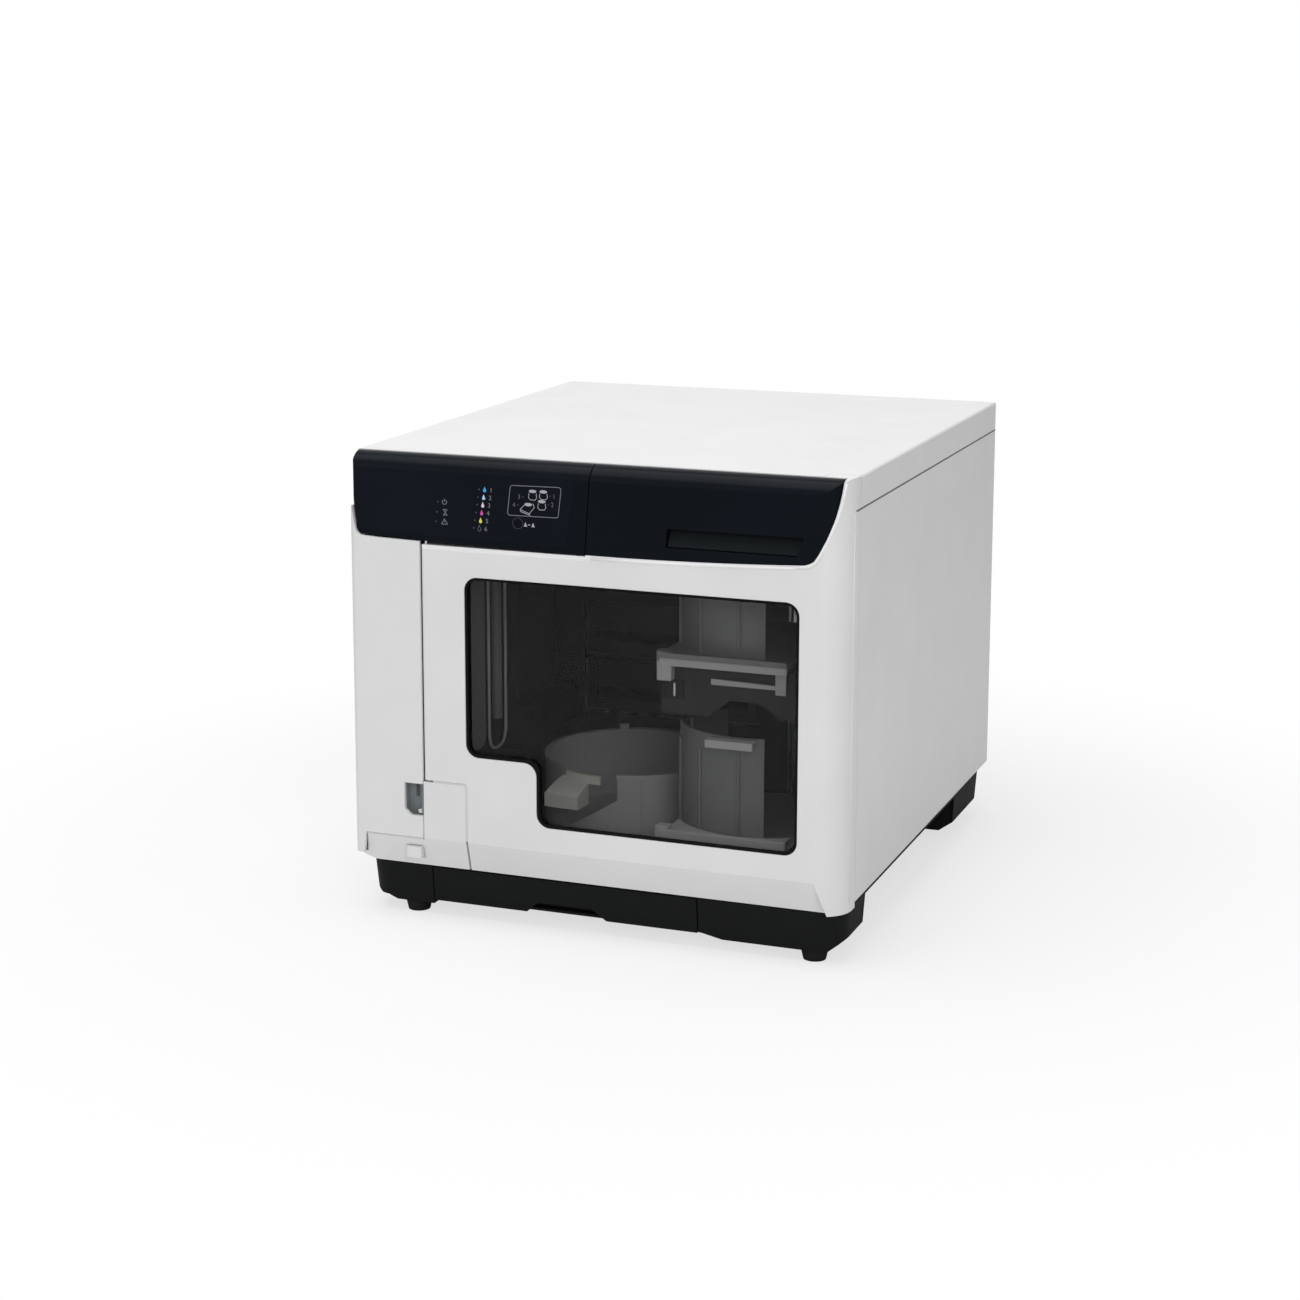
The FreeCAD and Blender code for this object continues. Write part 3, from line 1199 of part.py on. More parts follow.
def arm_carriage():
    """Block that slides on the two rods, slotted for the belt, with the arm's bearing boss."""
    body = new_body("arm_carriage")
    z0, z1 = S.CarriageZ, S.CarriageZ + CARRIAGE_HEIGHT
    plan = rounded(rect(S.RodLeft - 10, S.RodY - 10, S.RodRight + 10, S.RodY + 10), 3)
    pad(body, "z", [plan], z0, z1)
    boss_x, boss_y = S.ArmX, S.ArmY
    pad(body, "z", [(boss_x, boss_y, 11)], z0, z1)
    web = [(boss_x - 8, boss_y + 7.5), (boss_x + 7, boss_y - 8), (S.RodLeft + 12, S.RodY - 8),
           (S.RodLeft - 8, S.RodY + 6)]
    pad(body, "z", [web], z0, z1)
    for x in (S.RodLeft, S.RodRight):
        pocket(body, "z", [(x, S.RodY, S.RodRadius + BORE_PLAY)], z0 - 1, z1 + 1)
    pocket(body, "z", [rounded(rect(belt_x() - 14, S.RodY - 7, belt_x() + 14, S.RodY + 11), 2)],
           z0 - 1, z1 + 1)
    pocket(body, "z", [(boss_x, boss_y, 5.0 + BORE_PLAY)], z0 - 1, z1 + 1)


def arm_direction():
    """Unit vector and length from the swivel axis to the middle of the left stack."""
    dx = S.StackLeft.value - S.ArmX.value
    dy = S.StackLeftY.value - S.ArmY.value
    length = math.hypot(dx, dy)
    return dx / length, dy / length, length


def pick_arm():
    """Tapered arm with its swivel shaft and the round gripper head at its end."""
    body = new_body("pick_arm")
    ux, uy, length = arm_direction()
    ax, ay, ex, ey = S.ArmX, S.ArmY, S.StackLeft, S.StackLeftY
    z = S.ArmZ
    pad(body, "z", [(ax, ay, 13)], z, z + ARM_PLATE)
    pad(body, "z", [(ex, ey, 13)], z, z + ARM_PLATE)
    beam = [(ax - 11 * uy, ay + 11 * ux), (ax + 11 * uy, ay - 11 * ux),
            (ex + 9 * uy, ey - 9 * ux), (ex - 9 * uy, ey + 9 * ux)]
    pad(body, "z", [beam], z, z + ARM_PLATE)
    px, py = ax + ux * 18, ay + uy * 18
    qx, qy = ex - ux * 18, ey - uy * 18
    slot = [(px - 6 * uy, py + 6 * ux), (px + 6 * uy, py - 6 * ux), (qx + 4.5 * uy, qy - 4.5 * ux),
            (qx - 4.5 * uy, qy + 4.5 * ux)]
    pocket(body, "z", [slot], z + 2, z + ARM_PLATE + 1)
    pad(body, "z", [(ax, ay, 5.0)], S.CarriageZ - 3, z)
    pad(body, "z", [(ex, ey, 10)], z - 6, z)
    pocket(body, "z", [(ex, ey, 4.0 + BORE_PLAY)], z - 7, z + ARM_PLATE + 1)


def grip_plunger():
    """Plunger that spreads the three gripper claws in the hole of a disc."""
    ex, ey, z = S.StackLeft, S.StackLeftY, S.ArmZ
    stem = cylinder(ex, ey, z - 9, 4.0, ARM_PLATE + 13)
    head = cylinder(ex, ey, z + ARM_PLATE + PLUNGER_STROKE + 0.5, 7.0, 2)
    keep(fuse(stem, head), "grip_plunger")


def grip_claws():
    """Three claws round the plunger under the gripper head."""
    body = new_body("grip_claws")
    ex, ey, z = S.StackLeft, S.StackLeftY, S.ArmZ
    for start in (0, 120, 240):
        pad(body, "z", [ring_sector(ex, ey, 7.2, 4.4, start + 10, start + 100)], z - 10, z - 6)
    pad(body, "z", [(ex, ey, 9.0), (ex, ey, 4.3)], z - 7, z - 6)


def arm_motor():
    """Motor of the belt behind the bracket."""
    x, z = belt_x(), S.BeltBottom
    can = cylinder(x, S.RodY + 22, z, MOTOR_RADIUS, 30, along="y")
    cap = cylinder(x, S.RodY + 52, z, 7, 3, along="y")
    keep(fuse(can, cap), "arm_motor")


# ----------------------------------------------------------------------------------------------
# Disc drives and print unit
# ----------------------------------------------------------------------------------------------
def drive_case(label, z):
    """Half-height drive: folded case with a front bezel and the bay in which its tray runs."""
    body = new_body(label)
    half = S.DriveWidth * 0.5
    x, y = S.StackLeft, S.DriveFront
    pad(body, "y", [rect(x - half, z, x + half, z + S.DriveHeight)], y, y + S.DriveDepth)
    pocket(body, "y", [rect(x - 64.5, z + 9, x + 64.5, z + 25)], y - 1, y + S.DriveDepth - 4)
    pocket(body, "y", [rect(x + 52, z + 31, x + 58, z + 34)], y - 1, y + 3)
    for side in (-1, 1):
        rail = rect(x + side * (half + 1) - 3, z + 28, x + side * (half + 1) + 3, z + 34)
        pocket(body, "y", [rail], y + 12, y + S.DriveDepth + 1)


def disc_drive_1():
    drive_case("disc_drive_1", S.Drive1Z)


def disc_drive_2():
    drive_case("disc_drive_2", S.Drive2Z)


def disc_tray(label, z, thickness):
    """Disc tray with a round front, a stepped disc recess and the opening for the spindle."""
    body = new_body(label)
    x = S.StackLeft
    y = S.StackLeftY + S.TrayTravel
    half = S.TrayWidth * 0.5
    plan = [(x - half, y), (x + half, y, (x.value, number(y) - number(half))),
            (x + half, y + 88), (x - half, y + 88)]
    pad(body, "z", [plan], z, z + thickness)
    pocket(body, "z", [(x, y, 60.5)], z + thickness - 2, z + thickness + 1)
    pocket(body, "z", [(x, y, 41)], z + thickness - 3, z + thickness + 1)
    pocket(body, "z", [(x, y, 17)], z - 1, z + thickness + 1)
    pocket(body, "z", [rounded(rect(x - 14, y, x + 14, y + 52), 10)], z - 1, z + thickness + 1)


def drive_tray_1():
    disc_tray("drive_tray_1", S.Drive1Z + 12, 7)


def drive_tray_2():
    disc_tray("drive_tray_2", S.Drive2Z + 12, 7)


def printer_tray():
    disc_tray("printer_tray", S.PrinterZ + 9, 6)


def drive_cage():
    """Sheet-metal cage round both drives that carries the print unit."""
    body = new_body("drive_cage")
    half = S.DriveWidth * 0.5
    x0, x1 = S.StackLeft - half, S.StackLeft + half
    y0, y1 = S.DriveFront + 4, S.DriveFront + S.DriveDepth
    z0, z1 = S.BaseTop, S.PrinterZ
    section = [(x0 - 2.5, z0), (x0 - 0.5, z0), (x0 - 0.5, z1 - 2), (x1 + 0.5, z1 - 2), (x1 + 0.5, z0),
               (x1 + 2.5, z0), (x1 + 2.5, z1), (x0 - 2.5, z1)]
    pad(body, "y", [section], y0, y1)
    shelf = [rect(x0 - 0.5, S.Drive2Z - 2, x1 + 0.5, S.Drive2Z),
             rect(x0 - 0.5, S.Drive1Z - 2, x1 + 0.5, S.Drive1Z)]
    pad(body, "y", shelf, y0, y1)
    holes = [rounded(rect(y0 + 20 + 46 * i, 56, y0 + 50 + 46 * i, 96), 6) for i in range(3)]
    pocket(body, "x", holes, x0 - 4, x1 + 4)


def printer_frame():
    """Print unit: side plates, deck with the tray bay, rear beam and the rail seats."""
    body = new_body("printer_frame")
    half = S.DriveWidth * 0.5
    x0, x1 = S.StackLeft - half, S.StackLeft + half
    y0, y1 = S.DriveFront, S.DriveFront + S.DriveDepth
    z0, z1 = S.PrinterZ, S.PrinterZ + 112
    pad(body, "y", [rect(x0, z0, x1, z1)], y0, y1)
    pocket(body, "z", [rect(x0 + 4, y0 + 4, x1 - 4, y1 - 12)], z0 + 26, z1 + 1)
    pocket(body, "y", [rect(x0 + 8, z0 + 6, x1 - 8, z0 + 20)], y0 - 1, y1 - 6)
    pocket(body, "z", [rect(x0 + 16, y0 + 40, x1 - 16, y0 + 104)], z0 + 15, z0 + 30)
    pocket(body, "y", [rounded(rect(x0 + 22, z0 + 40, x1 - 22, z1 - 16), 8)], y0 - 1, y0 + 6)
    for y in (58.0, 84.0):
        pocket(body, "x", [(S.DriveFront + y, z0 + 62, 4.0)], x0 - 1, x1 + 1)


def print_rails():
    """Two ground rods on which the print carriage runs."""
    half = S.DriveWidth * 0.5
    rods = [cylinder(S.StackLeft - half, S.DriveFront + y, S.PrinterZ + 62, 4.0, S.DriveWidth, "x")
            for y in (58.0, 84.0)]
    keep(fuse(*rods), "print_rails")


def print_carriage():
    """Carriage with six nozzle rows that runs over the disc on both rods."""
    body = new_body("print_carriage")
    x0 = S.StackLeft - S.DriveWidth * 0.5 + 6
    y0, z0 = S.DriveFront + 46, S.PrinterZ + 30
    pad(body, "z", [rounded(rect(x0, y0, x0 + 52, y0 + 50), 3)], z0, z0 + 50)
    for y in (58.0, 84.0):
        pocket(body, "x", [(S.DriveFront + y, S.PrinterZ + 62, 4.0 + BORE_PLAY)], x0 - 1, x0 + 53)
    ports = [(x0 + 8 + 7.2 * i, y0 + 12, 2.0) for i in range(6)]
    pocket(body, "z", ports, z0 + 42, z0 + 51)


# ----------------------------------------------------------------------------------------------
# Ink bay, power and cooling
# ----------------------------------------------------------------------------------------------
BAY_LEFT, BAY_RIGHT = -183.0, -133.0
BAY_FRONT, BAY_REAR = -206.0, -66.0


def ink_bay():
    """Rack with six slots, one above the other, open to the front behind the ink cover."""
    body = new_body("ink_bay")
    low, high = S.CartridgeZ - 6, S.CartridgeZ + S.CartridgePitch * 6 + 2
    pad(body, "y", [rect(BAY_LEFT, low, BAY_RIGHT, high)], BAY_FRONT + 6, BAY_REAR)
    for i in range(6):
        z = S.CartridgeZ + S.CartridgePitch * i
        pocket(body, "y", [rect(BAY_LEFT + 3, z - 1, BAY_RIGHT - 3, z + 28)],
               BAY_FRONT + 5, BAY_REAR - 8)


def ink_cartridge(index):
    """One ink cartridge with its gripping ribs."""
    body = new_body(f"ink_cartridge_{index}")
    z = S.CartridgeZ + S.CartridgePitch * (index - 1)
    pad(body, "y", [rounded(rect(BAY_LEFT + 3.6, z, BAY_RIGHT - 3.6, z + 27), 2)],
        BAY_FRONT, BAY_REAR - 9)
    grips = [rect(BAY_LEFT + 12 + 6 * i, z + 5, BAY_LEFT + 15 + 6 * i, z + 22) for i in range(5)]
    pocket(body, "y", grips, BAY_FRONT - 1, BAY_FRONT + 3)


def power_supply():
    """Vented metal box at the right rear."""
    body = new_body("power_supply")
    pad(body, "z", [rect(72, 40, 168, 168)], S.BaseTop, S.BaseTop + 62)
    slots = [rounded(rect(84 + 11 * i, 60, 90 + 11 * i, 120), 2.8) for i in range(7)]
    for slot in slots:
        pocket(body, "z", [slot], S.BaseTop + 60, S.BaseTop + 63)


def main_board():
    """Upright circuit board beside the right panel with its larger components."""
    body = new_body("main_board")
    pad(body, "x", [rect(20, 120, 178, 310)], 176, 178)
    for y0, z0, y1, z1, tall in ((40, 250, 70, 280, 4), (90, 220, 130, 262, 9), (40, 150, 54, 200, 11),
                                 (140, 140, 170, 160, 12), (140, 180, 166, 206, 5)):
        pad(body, "x", [rect(y0, z0, y1, z1)], 176 - tall, 176)


def fan_housing():
    """Square frame of the fan in the duct, its ring and the struts of its hub."""
    body = new_body("fan_housing")
    half = S.FanRadius + 3
    x, z = S.FanX, S.FanZ
    y0, y1 = S.DuctRear - 32, S.DuctRear - 7
    pad(body, "y", [rounded(rect(x - half, z - half, x + half, z + half), 4)], y0, y1)
    pocket(body, "y", [(x, z, S.FanRadius + 1.2)], y0 - 1, y1 + 1)
    pad(body, "y", [rect(x - half + 1, z - 2, x + half - 1, z + 2),], y0, y0 + 3)
    pad(body, "y", [rect(x - 2, z - half + 1, x + 2, z + half - 1)], y0, y0 + 3)
    pad(body, "y", [(x, z, 12)], y0, y0 + 4)
    pad(body, "y", [(x, z, 2.0)], y0 + 4, y1 - 2)


def fan_rotor():
    """Hub with seven pitched blades."""
    x, z = S.FanX, S.FanZ
    y0 = S.DuctRear - 27.5
    hub = cut(cylinder(x, y0, z, 13, 17, along="y"),
              cylinder(x, y0 - 1, z, 2.0 + BORE_PLAY, 19, along="y"))
    blades = []
    for i in range(7):
        blade = doc.addObject("Part::Box", "Blade")
        bind(blade, "Length", S.FanRadius - 12.5)
        blade.Width = 1.6
        blade.Height = 17
        tilt = FreeCAD.Rotation(Vector(1, 0, 0), 42)
        turn = FreeCAD.Rotation(Vector(0, 1, 0), 360.0 / 7 * i)
        start = turn.multVec(Vector(12.0, 0, 0) + tilt.multVec(Vector(0, -0.8, -8.5)))
        middle = Vector(S.FanX.value, number(y0) + 8.5, S.FanZ.value)
        blade.Placement = FreeCAD.Placement(middle + start, turn * tilt)
        blades.append(blade)
    keep(fuse(hub, *blades), "fan_rotor")


# ----------------------------------------------------------------------------------------------
# Build, check and write
# ----------------------------------------------------------------------------------------------
def build_all():
    for make in (base_frame, rubber_feet, stacker_4_drawer, side_panel_right, side_panel_left,
                 top_cover, rear_cover, power_inlet, data_socket, rear_screws, control_panel,
                 clean_button, lower_front_panel, power_button, ink_cover, disc_cover_frame,
                 cover_hinge_pins, disc_cover_band, disc_cover_window, window_gasket,
                 chamber_left_wall, chamber_right_wall, chamber_rear_wall, stacker_1, stacker_2,
                 stacker_3, stacker_3_tab, stacker_1_holder, stacker_rail, channel_rod,
                 arm_guide_rods, arm_bracket, arm_belt, arm_pulley_lower, arm_pulley_upper,
                 arm_carriage, pick_arm, grip_plunger, grip_claws, arm_motor, disc_drive_1,
                 disc_drive_2, drive_tray_1, drive_tray_2, printer_tray, drive_cage,
                 printer_frame, print_rails, print_carriage, ink_bay, power_supply, main_board,
                 fan_housing, fan_rotor):
        make()
    for index in range(1, 7):
        ink_cartridge(index)


def check_and_write():
    """Stop on any failed object or bad shape, then write one STEP file per sub-part."""
    doc.recompute()
    failed = [item.Label for item in doc.Objects if {"Invalid", "Error"} & set(item.State)]
    for item in nodes:
        shape = item.Shape
        if shape.isNull() or not shape.isValid() or shape.Volume <= 0:
            failed.append(item.Label)
    if failed:
        raise RuntimeError("failed: " + ", ".join(sorted(set(failed))))
    os.makedirs("parts", exist_ok=True)
    for item in nodes:
        item.Shape.exportStep(f"parts/{item.Label}.step")
    print(f"{len(nodes)} sub-parts written")


build_all()
check_and_write()
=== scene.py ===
"""Finishes, printed marks and small fittings of a disc label printer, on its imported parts.

Frame: +X to the right seen from the front, the front faces -Y, +Z up, metres. Sizes of the marks
and fittings are given in millimetres and turned into metres where a mesh is made.
"""

import logging
import math
from collections.abc import Sequence
from dataclasses import dataclass, field
from enum import Enum
from functools import cache
from typing import ClassVar

import bmesh
import bpy
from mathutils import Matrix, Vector


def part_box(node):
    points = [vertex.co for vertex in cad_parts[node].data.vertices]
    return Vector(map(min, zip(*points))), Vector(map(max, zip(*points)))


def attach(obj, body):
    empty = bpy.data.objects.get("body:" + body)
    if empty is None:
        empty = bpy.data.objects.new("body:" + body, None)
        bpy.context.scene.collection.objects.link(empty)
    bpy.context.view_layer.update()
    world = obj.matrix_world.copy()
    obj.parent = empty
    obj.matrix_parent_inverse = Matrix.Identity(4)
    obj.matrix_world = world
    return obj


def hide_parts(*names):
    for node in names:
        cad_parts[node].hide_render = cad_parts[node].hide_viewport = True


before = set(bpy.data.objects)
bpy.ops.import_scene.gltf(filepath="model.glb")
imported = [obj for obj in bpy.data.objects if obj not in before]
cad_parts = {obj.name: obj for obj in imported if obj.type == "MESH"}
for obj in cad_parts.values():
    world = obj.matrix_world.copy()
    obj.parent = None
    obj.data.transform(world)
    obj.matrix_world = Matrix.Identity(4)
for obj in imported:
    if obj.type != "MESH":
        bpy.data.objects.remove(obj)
LOG = logging.getLogger("disc_label_printer")
MM = 0.001

Point2 = tuple[float, float]
Point3 = tuple[float, float, float]
Box2 = tuple[float, float, float, float]
Tone = tuple[float, float, float]
Outline = Sequence[Point2]
Material = bpy.types.Material
Node = bpy.types.Node


# Finishes ----------------------------------------------------
def linear(tone: Tone, share: float) -> tuple[float, ...]:
    """Turn a display colour into the linear colour that a shader takes.

    Args:
        tone: Red, green and blue of 0 to 255 as they appear on a display.
        share: Share by which the display colour is made lighter or darker first.

    Returns:
        The linear colour with an alpha of 1.
    """
    parts = []
    for value in tone:
        level = min(255.0, value * share) / 255.0
        parts.append(level / 12.92 if level <= 0.04045 else ((level + 0.055) / 1.055) ** 2.4)
    return *parts, 1.0


class Graph:
    """A node tree with short calls to add and join its nodes."""

    def __init__(self, owner: Material | bpy.types.World, output: str) -> None:
        """Empty the owner's node tree and give it a new output node.

        Args:
            owner: The material or the world.
            output: The output node's type.
        """
        owner.use_nodes = True
        self.tree = owner.node_tree
        self.tree.nodes.clear()
        self.output = self.add(output)

    def add(self, kind: str, **sockets: object) -> Node:
        """Add a node and set its unlinked sockets.

        Args:
            kind: The node's type.
            sockets: Values by socket name, with underscores for spaces.

        Returns:
            The new node.
        """
        node = self.tree.nodes.new(kind)
        for name, value in sockets.items():
            node.inputs[name.replace("_", " ")].default_value = value
        return node

    def join(self, source: Node, out: str | int, target: Node, into: str | int) -> None:
        """Join an output socket to an input socket, each by its name or number."""
        self.tree.links.new(source.outputs[out], target.inputs[into])

    def mix(self, first: Node, second: Node, **sockets: float) -> Node:
        """Mix two shaders.

        Args:
            first: The shader at a share of 0.
            second: The shader at a share of 1.
            sockets: The share as Fac, where it is a constant.

        Returns:
            The mixing node.
        """
        node = self.add("ShaderNodeMixShader", **sockets)
        self.join(first, 0, node, 1)
        self.join(second, 0, node, 2)
        return node


@dataclass(frozen=True)
class Texture:
    """A texture in a piece's own coordinates: its scale, richness, node type and output."""

    scale: float
    detail: float = 2.0
    kind: str = "Noise"
    out: str = "Fac"
    stretch: Point3 = (1, 1, 1)
    settings: tuple[tuple[str, str], ...] = ()


@dataclass(frozen=True)
class Layer:
    """A texture, the values of its low and high places, and where a tint reaches them."""

    texture: Texture
    low: float
    high: float
    ends: Point2 = (0.3, 0.7)


@dataclass(frozen=True)
class Relief:
    """A texture that dents the surface, and the radius by which edges look rounded."""

    texture: Texture
    depth_mm: float
    edge_mm: float = 0.0


class Surface(Graph):
    """A material's node tree."""

    def __init__(self, name: str) -> None:
        """Start an empty material.

        Args:
            name: Its name.
        """
        self.material = bpy.data.materials.new(name)
        self.laid: dict[Texture, Node] = {}
        super().__init__(self.material, "ShaderNodeOutputMaterial")

    def place(self, stretch: Point3 = (1, 1, 1)) -> Node:
        """Make coordinates that move with the piece.

        Args:
            stretch: Their scale along the piece's axes.

        Returns:
            The mapping node.
        """
        mapping = self.add("ShaderNodeMapping", Scale=stretch)
        self.join(self.add("ShaderNodeTexCoord"), "Object", mapping, "Vector")
        return mapping

    def lay(self, texture: Texture, target: Node, into: str) -> None:
        """Join a texture to a socket, and make its nodes on its first use.

        Args:
            texture: The texture.
            target: The node that it drives.
            into: That node's socket.
        """
        if texture not in self.laid:
            node = self.add("ShaderNodeTex" + texture.kind, Scale=texture.scale,
                            Detail=texture.detail)
            for name, value in texture.settings:
                setattr(node, name, value)
            self.join(self.place(texture.stretch), "Vector", node, "Vector")
            self.laid[texture] = node
        self.join(self.laid[texture], texture.out, target, into)

    def coat(self, tone: Tone, tint: Layer, gloss: Layer, relief: Relief,
             **sockets: object) -> Material:
        """Build the whole material from its layers.

        Args:
            tone: The display colour.
            tint: Shares by which the colour is made darker and lighter.
            gloss: The range of the roughness.
            relief: The bump.
            sockets: The shader's constants by socket name.

        Returns:
            The finished material.
        """
        ramp = self.add("ShaderNodeValToRGB")
        for element, share, end in zip(ramp.color_ramp.elements, (tint.low, tint.high), tint.ends):
            element.color = linear(tone, share)
            element.position = end
        self.lay(tint.texture, ramp, "Fac")
        rough = self.add("ShaderNodeMapRange", To_Min=gloss.low, To_Max=gloss.high)
        self.lay(gloss.texture, rough, "Value")
        bump = self.add("ShaderNodeBump", Strength=1.0, Distance=relief.depth_mm * MM)
        self.lay(relief.texture, bump, "Height")
        if relief.edge_mm > 0:
            soft = self.add("ShaderNodeBevel", Radius=relief.edge_mm * MM)
            soft.samples = 4
            self.join(soft, "Normal", bump, "Normal")
        shader = self.add("ShaderNodeBsdfPrincipled", **sockets)
        self.join(ramp, "Color", shader, "Base Color")
        self.join(rough, "Result", shader, "Roughness")
        self.join(bump, "Normal", shader, "Normal")
        self.join(shader, "BSDF", self.output, "Surface")
        return self.material


@dataclass(frozen=True)
class MouldedPlastic:
    """Injection-moulded plastic with a fine spark-eroded grain and softly rounded edges."""

    name: str
    tone: Tone
    roughness: float = 0.45
    specular: float = 0.4
    grain_mm: float = 1.4
    grain_depth: float = 0.006
    edge_mm: float = 0.5
    clouding: float = 0.01

    def make(self) -> Material:
        """Build the material."""
        clouds, wear, grain = (Texture(16.0, 3.0), Texture(70.0, 4.0),
                               Texture(1.0 / (self.grain_mm * MM), 1.0))
        return Surface(self.name).coat(
            self.tone, Layer(clouds, 1 - self.clouding, 1 + self.clouding),
            Layer(wear, self.roughness - 0.05, self.roughness + 0.05),
            Relief(grain, self.grain_depth, self.edge_mm), Specular_IOR_Level=self.specular)


@dataclass(frozen=True)
class SatinPlastic(MouldedPlastic):
    """Moulded plastic of the inner parts, with a wide faint swell in place of the grain."""

    grain_mm: float = 7.0
    grain_depth: float = 0.004
    edge_mm: float = 0.0


@dataclass(frozen=True)
class PolishedPlastic:
    """High-gloss moulded plastic with a faint flow ripple."""

    name: str
    tone: Tone
    roughness: float = 0.2
    specular: float = 0.04
    ripple_mm: float = 9.0

    def make(self) -> Material:
        """Build the material."""
        depth, haze, ripple = (Texture(9.0), Texture(45.0, 5.0),
                               Texture(1.0 / (self.ripple_mm * MM), 0.0))
        return Surface(self.name).coat(
            self.tone, Layer(depth, 0.9, 1.1),
            Layer(haze, self.roughness - 0.05, self.roughness + 0.07),
            Relief(ripple, 0.01, 0.5), Specular_IOR_Level=self.specular)


@dataclass(frozen=True)
class SmokedPane:
    """Tinted clear plastic sheet: dark, see-through, with a faint surface haze."""

    name: str
    tone: Tone
    alpha: float
    roughness: float = 0.06
    specular: float = 0.53

    def make(self) -> Material:
        """Build the material."""
        tint, haze, warp = Texture(5.0), Texture(30.0, 4.0), Texture(22.0, 0.0)
        return Surface(self.name).coat(
            self.tone, Layer(tint, 0.92, 1.08),
            Layer(haze, self.roughness - 0.02, self.roughness + 0.03), Relief(warp, 0.01),
            Specular_IOR_Level=self.specular, Alpha=self.alpha)


@dataclass(frozen=True)
class BrushedMetal:
    """Metal with fine lines along one axis, or with an even cast grain where unstretched."""

    name: str
    tone: Tone
    roughness: float = 0.3
    stretch: Point3 = (1.0, 1.0, 0.02)
    line_mm: float = 0.25
    line_depth: float = 0.006

    def make(self) -> Material:
        """Build the material."""
        lines, stain = Texture(1.0 / (self.line_mm * MM), stretch=self.stretch), Texture(35.0, 4.0)
        return Surface(self.name).coat(
            self.tone, Layer(stain, 0.93, 1.04),
            Layer(lines, self.roughness - 0.08, self.roughness + 0.1),
            Relief(lines, self.line_depth, 0.25), Metallic=1.0)


@dataclass(frozen=True)
class SpangledSheet:
    """Zinc-plated sheet steel with the flakes of its plating."""

    name: str
    tone: Tone
    flake_mm: float = 7.0
    roughness: float = 0.36

    def make(self) -> Material:
        """Build the material."""
        flakes = Texture(1.0 / (self.flake_mm * MM), 0.0, "Voronoi", "Distance")
        return Surface(self.name).coat(
            self.tone, Layer(flakes, 0.9, 1.05, (0.1, 0.8)),
            Layer(flakes, self.roughness - 0.08, self.roughness + 0.1),
            Relief(flakes, 0.01, 0.3), Metallic=0.9)


@dataclass(frozen=True)
class MattRubber:
    """Moulded rubber: dull and slightly dusty, pitted unless it is ribbed."""

    name: str
    tone: Tone
    roughness: float = 0.85
    pit_mm: float = 0.8
    ribbed: bool = False

    def make(self) -> Material:
        """Build the material.

        Returns:
            The finished material.
        """
        dust, relief = Texture(90.0, 5.0), Texture(1.0 / (self.pit_mm * MM))
        if self.ribbed:
            relief = Texture(80.0, kind="Wave", settings=(("bands_direction", "Z"),))
        return Surface(self.name).coat(
            self.tone, Layer(dust, 1.0, 1.5, (0.4, 0.9)),
            Layer(dust, self.roughness - 0.06, self.roughness + 0.08),
            Relief(relief, 0.03, 0.4), Specular_IOR_Level=0.25)


@dataclass(frozen=True)
class BoardLaminate:
    """Coated circuit board whose copper runs show as lighter squares and lines."""

    name: str
    tone: Tone
    run_mm: float = 6.0

    def make(self) -> Material:
        """Build the material."""
        runs = Texture(1.0 / (self.run_mm * MM), 0.0, "Voronoi", "Distance",
                       settings=(("distance", "MANHATTAN"), ("feature", "DISTANCE_TO_EDGE")))
        return Surface(self.name).coat(
            self.tone, Layer(runs, 1.5, 1.0, (0.04, 0.07)), Layer(Texture(60.0, 3.0), 0.25, 0.4),
            Relief(runs, 0.03), Specular_IOR_Level=0.5)


@dataclass(frozen=True)
class PrintedInk:
    """Screen-printed ink: a thin even film with a faint weave of the screen."""

    name: str
    tone: Tone

    def make(self) -> Material:
        """Build the material."""
        screen, film = Texture(3000.0, 1.0), Texture(300.0)
        return Surface(self.name).coat(self.tone, Layer(screen, 0.93, 1.05),
                                       Layer(film, 0.4, 0.55), Relief(screen, 0.005),
                                       Specular_IOR_Level=0.3)


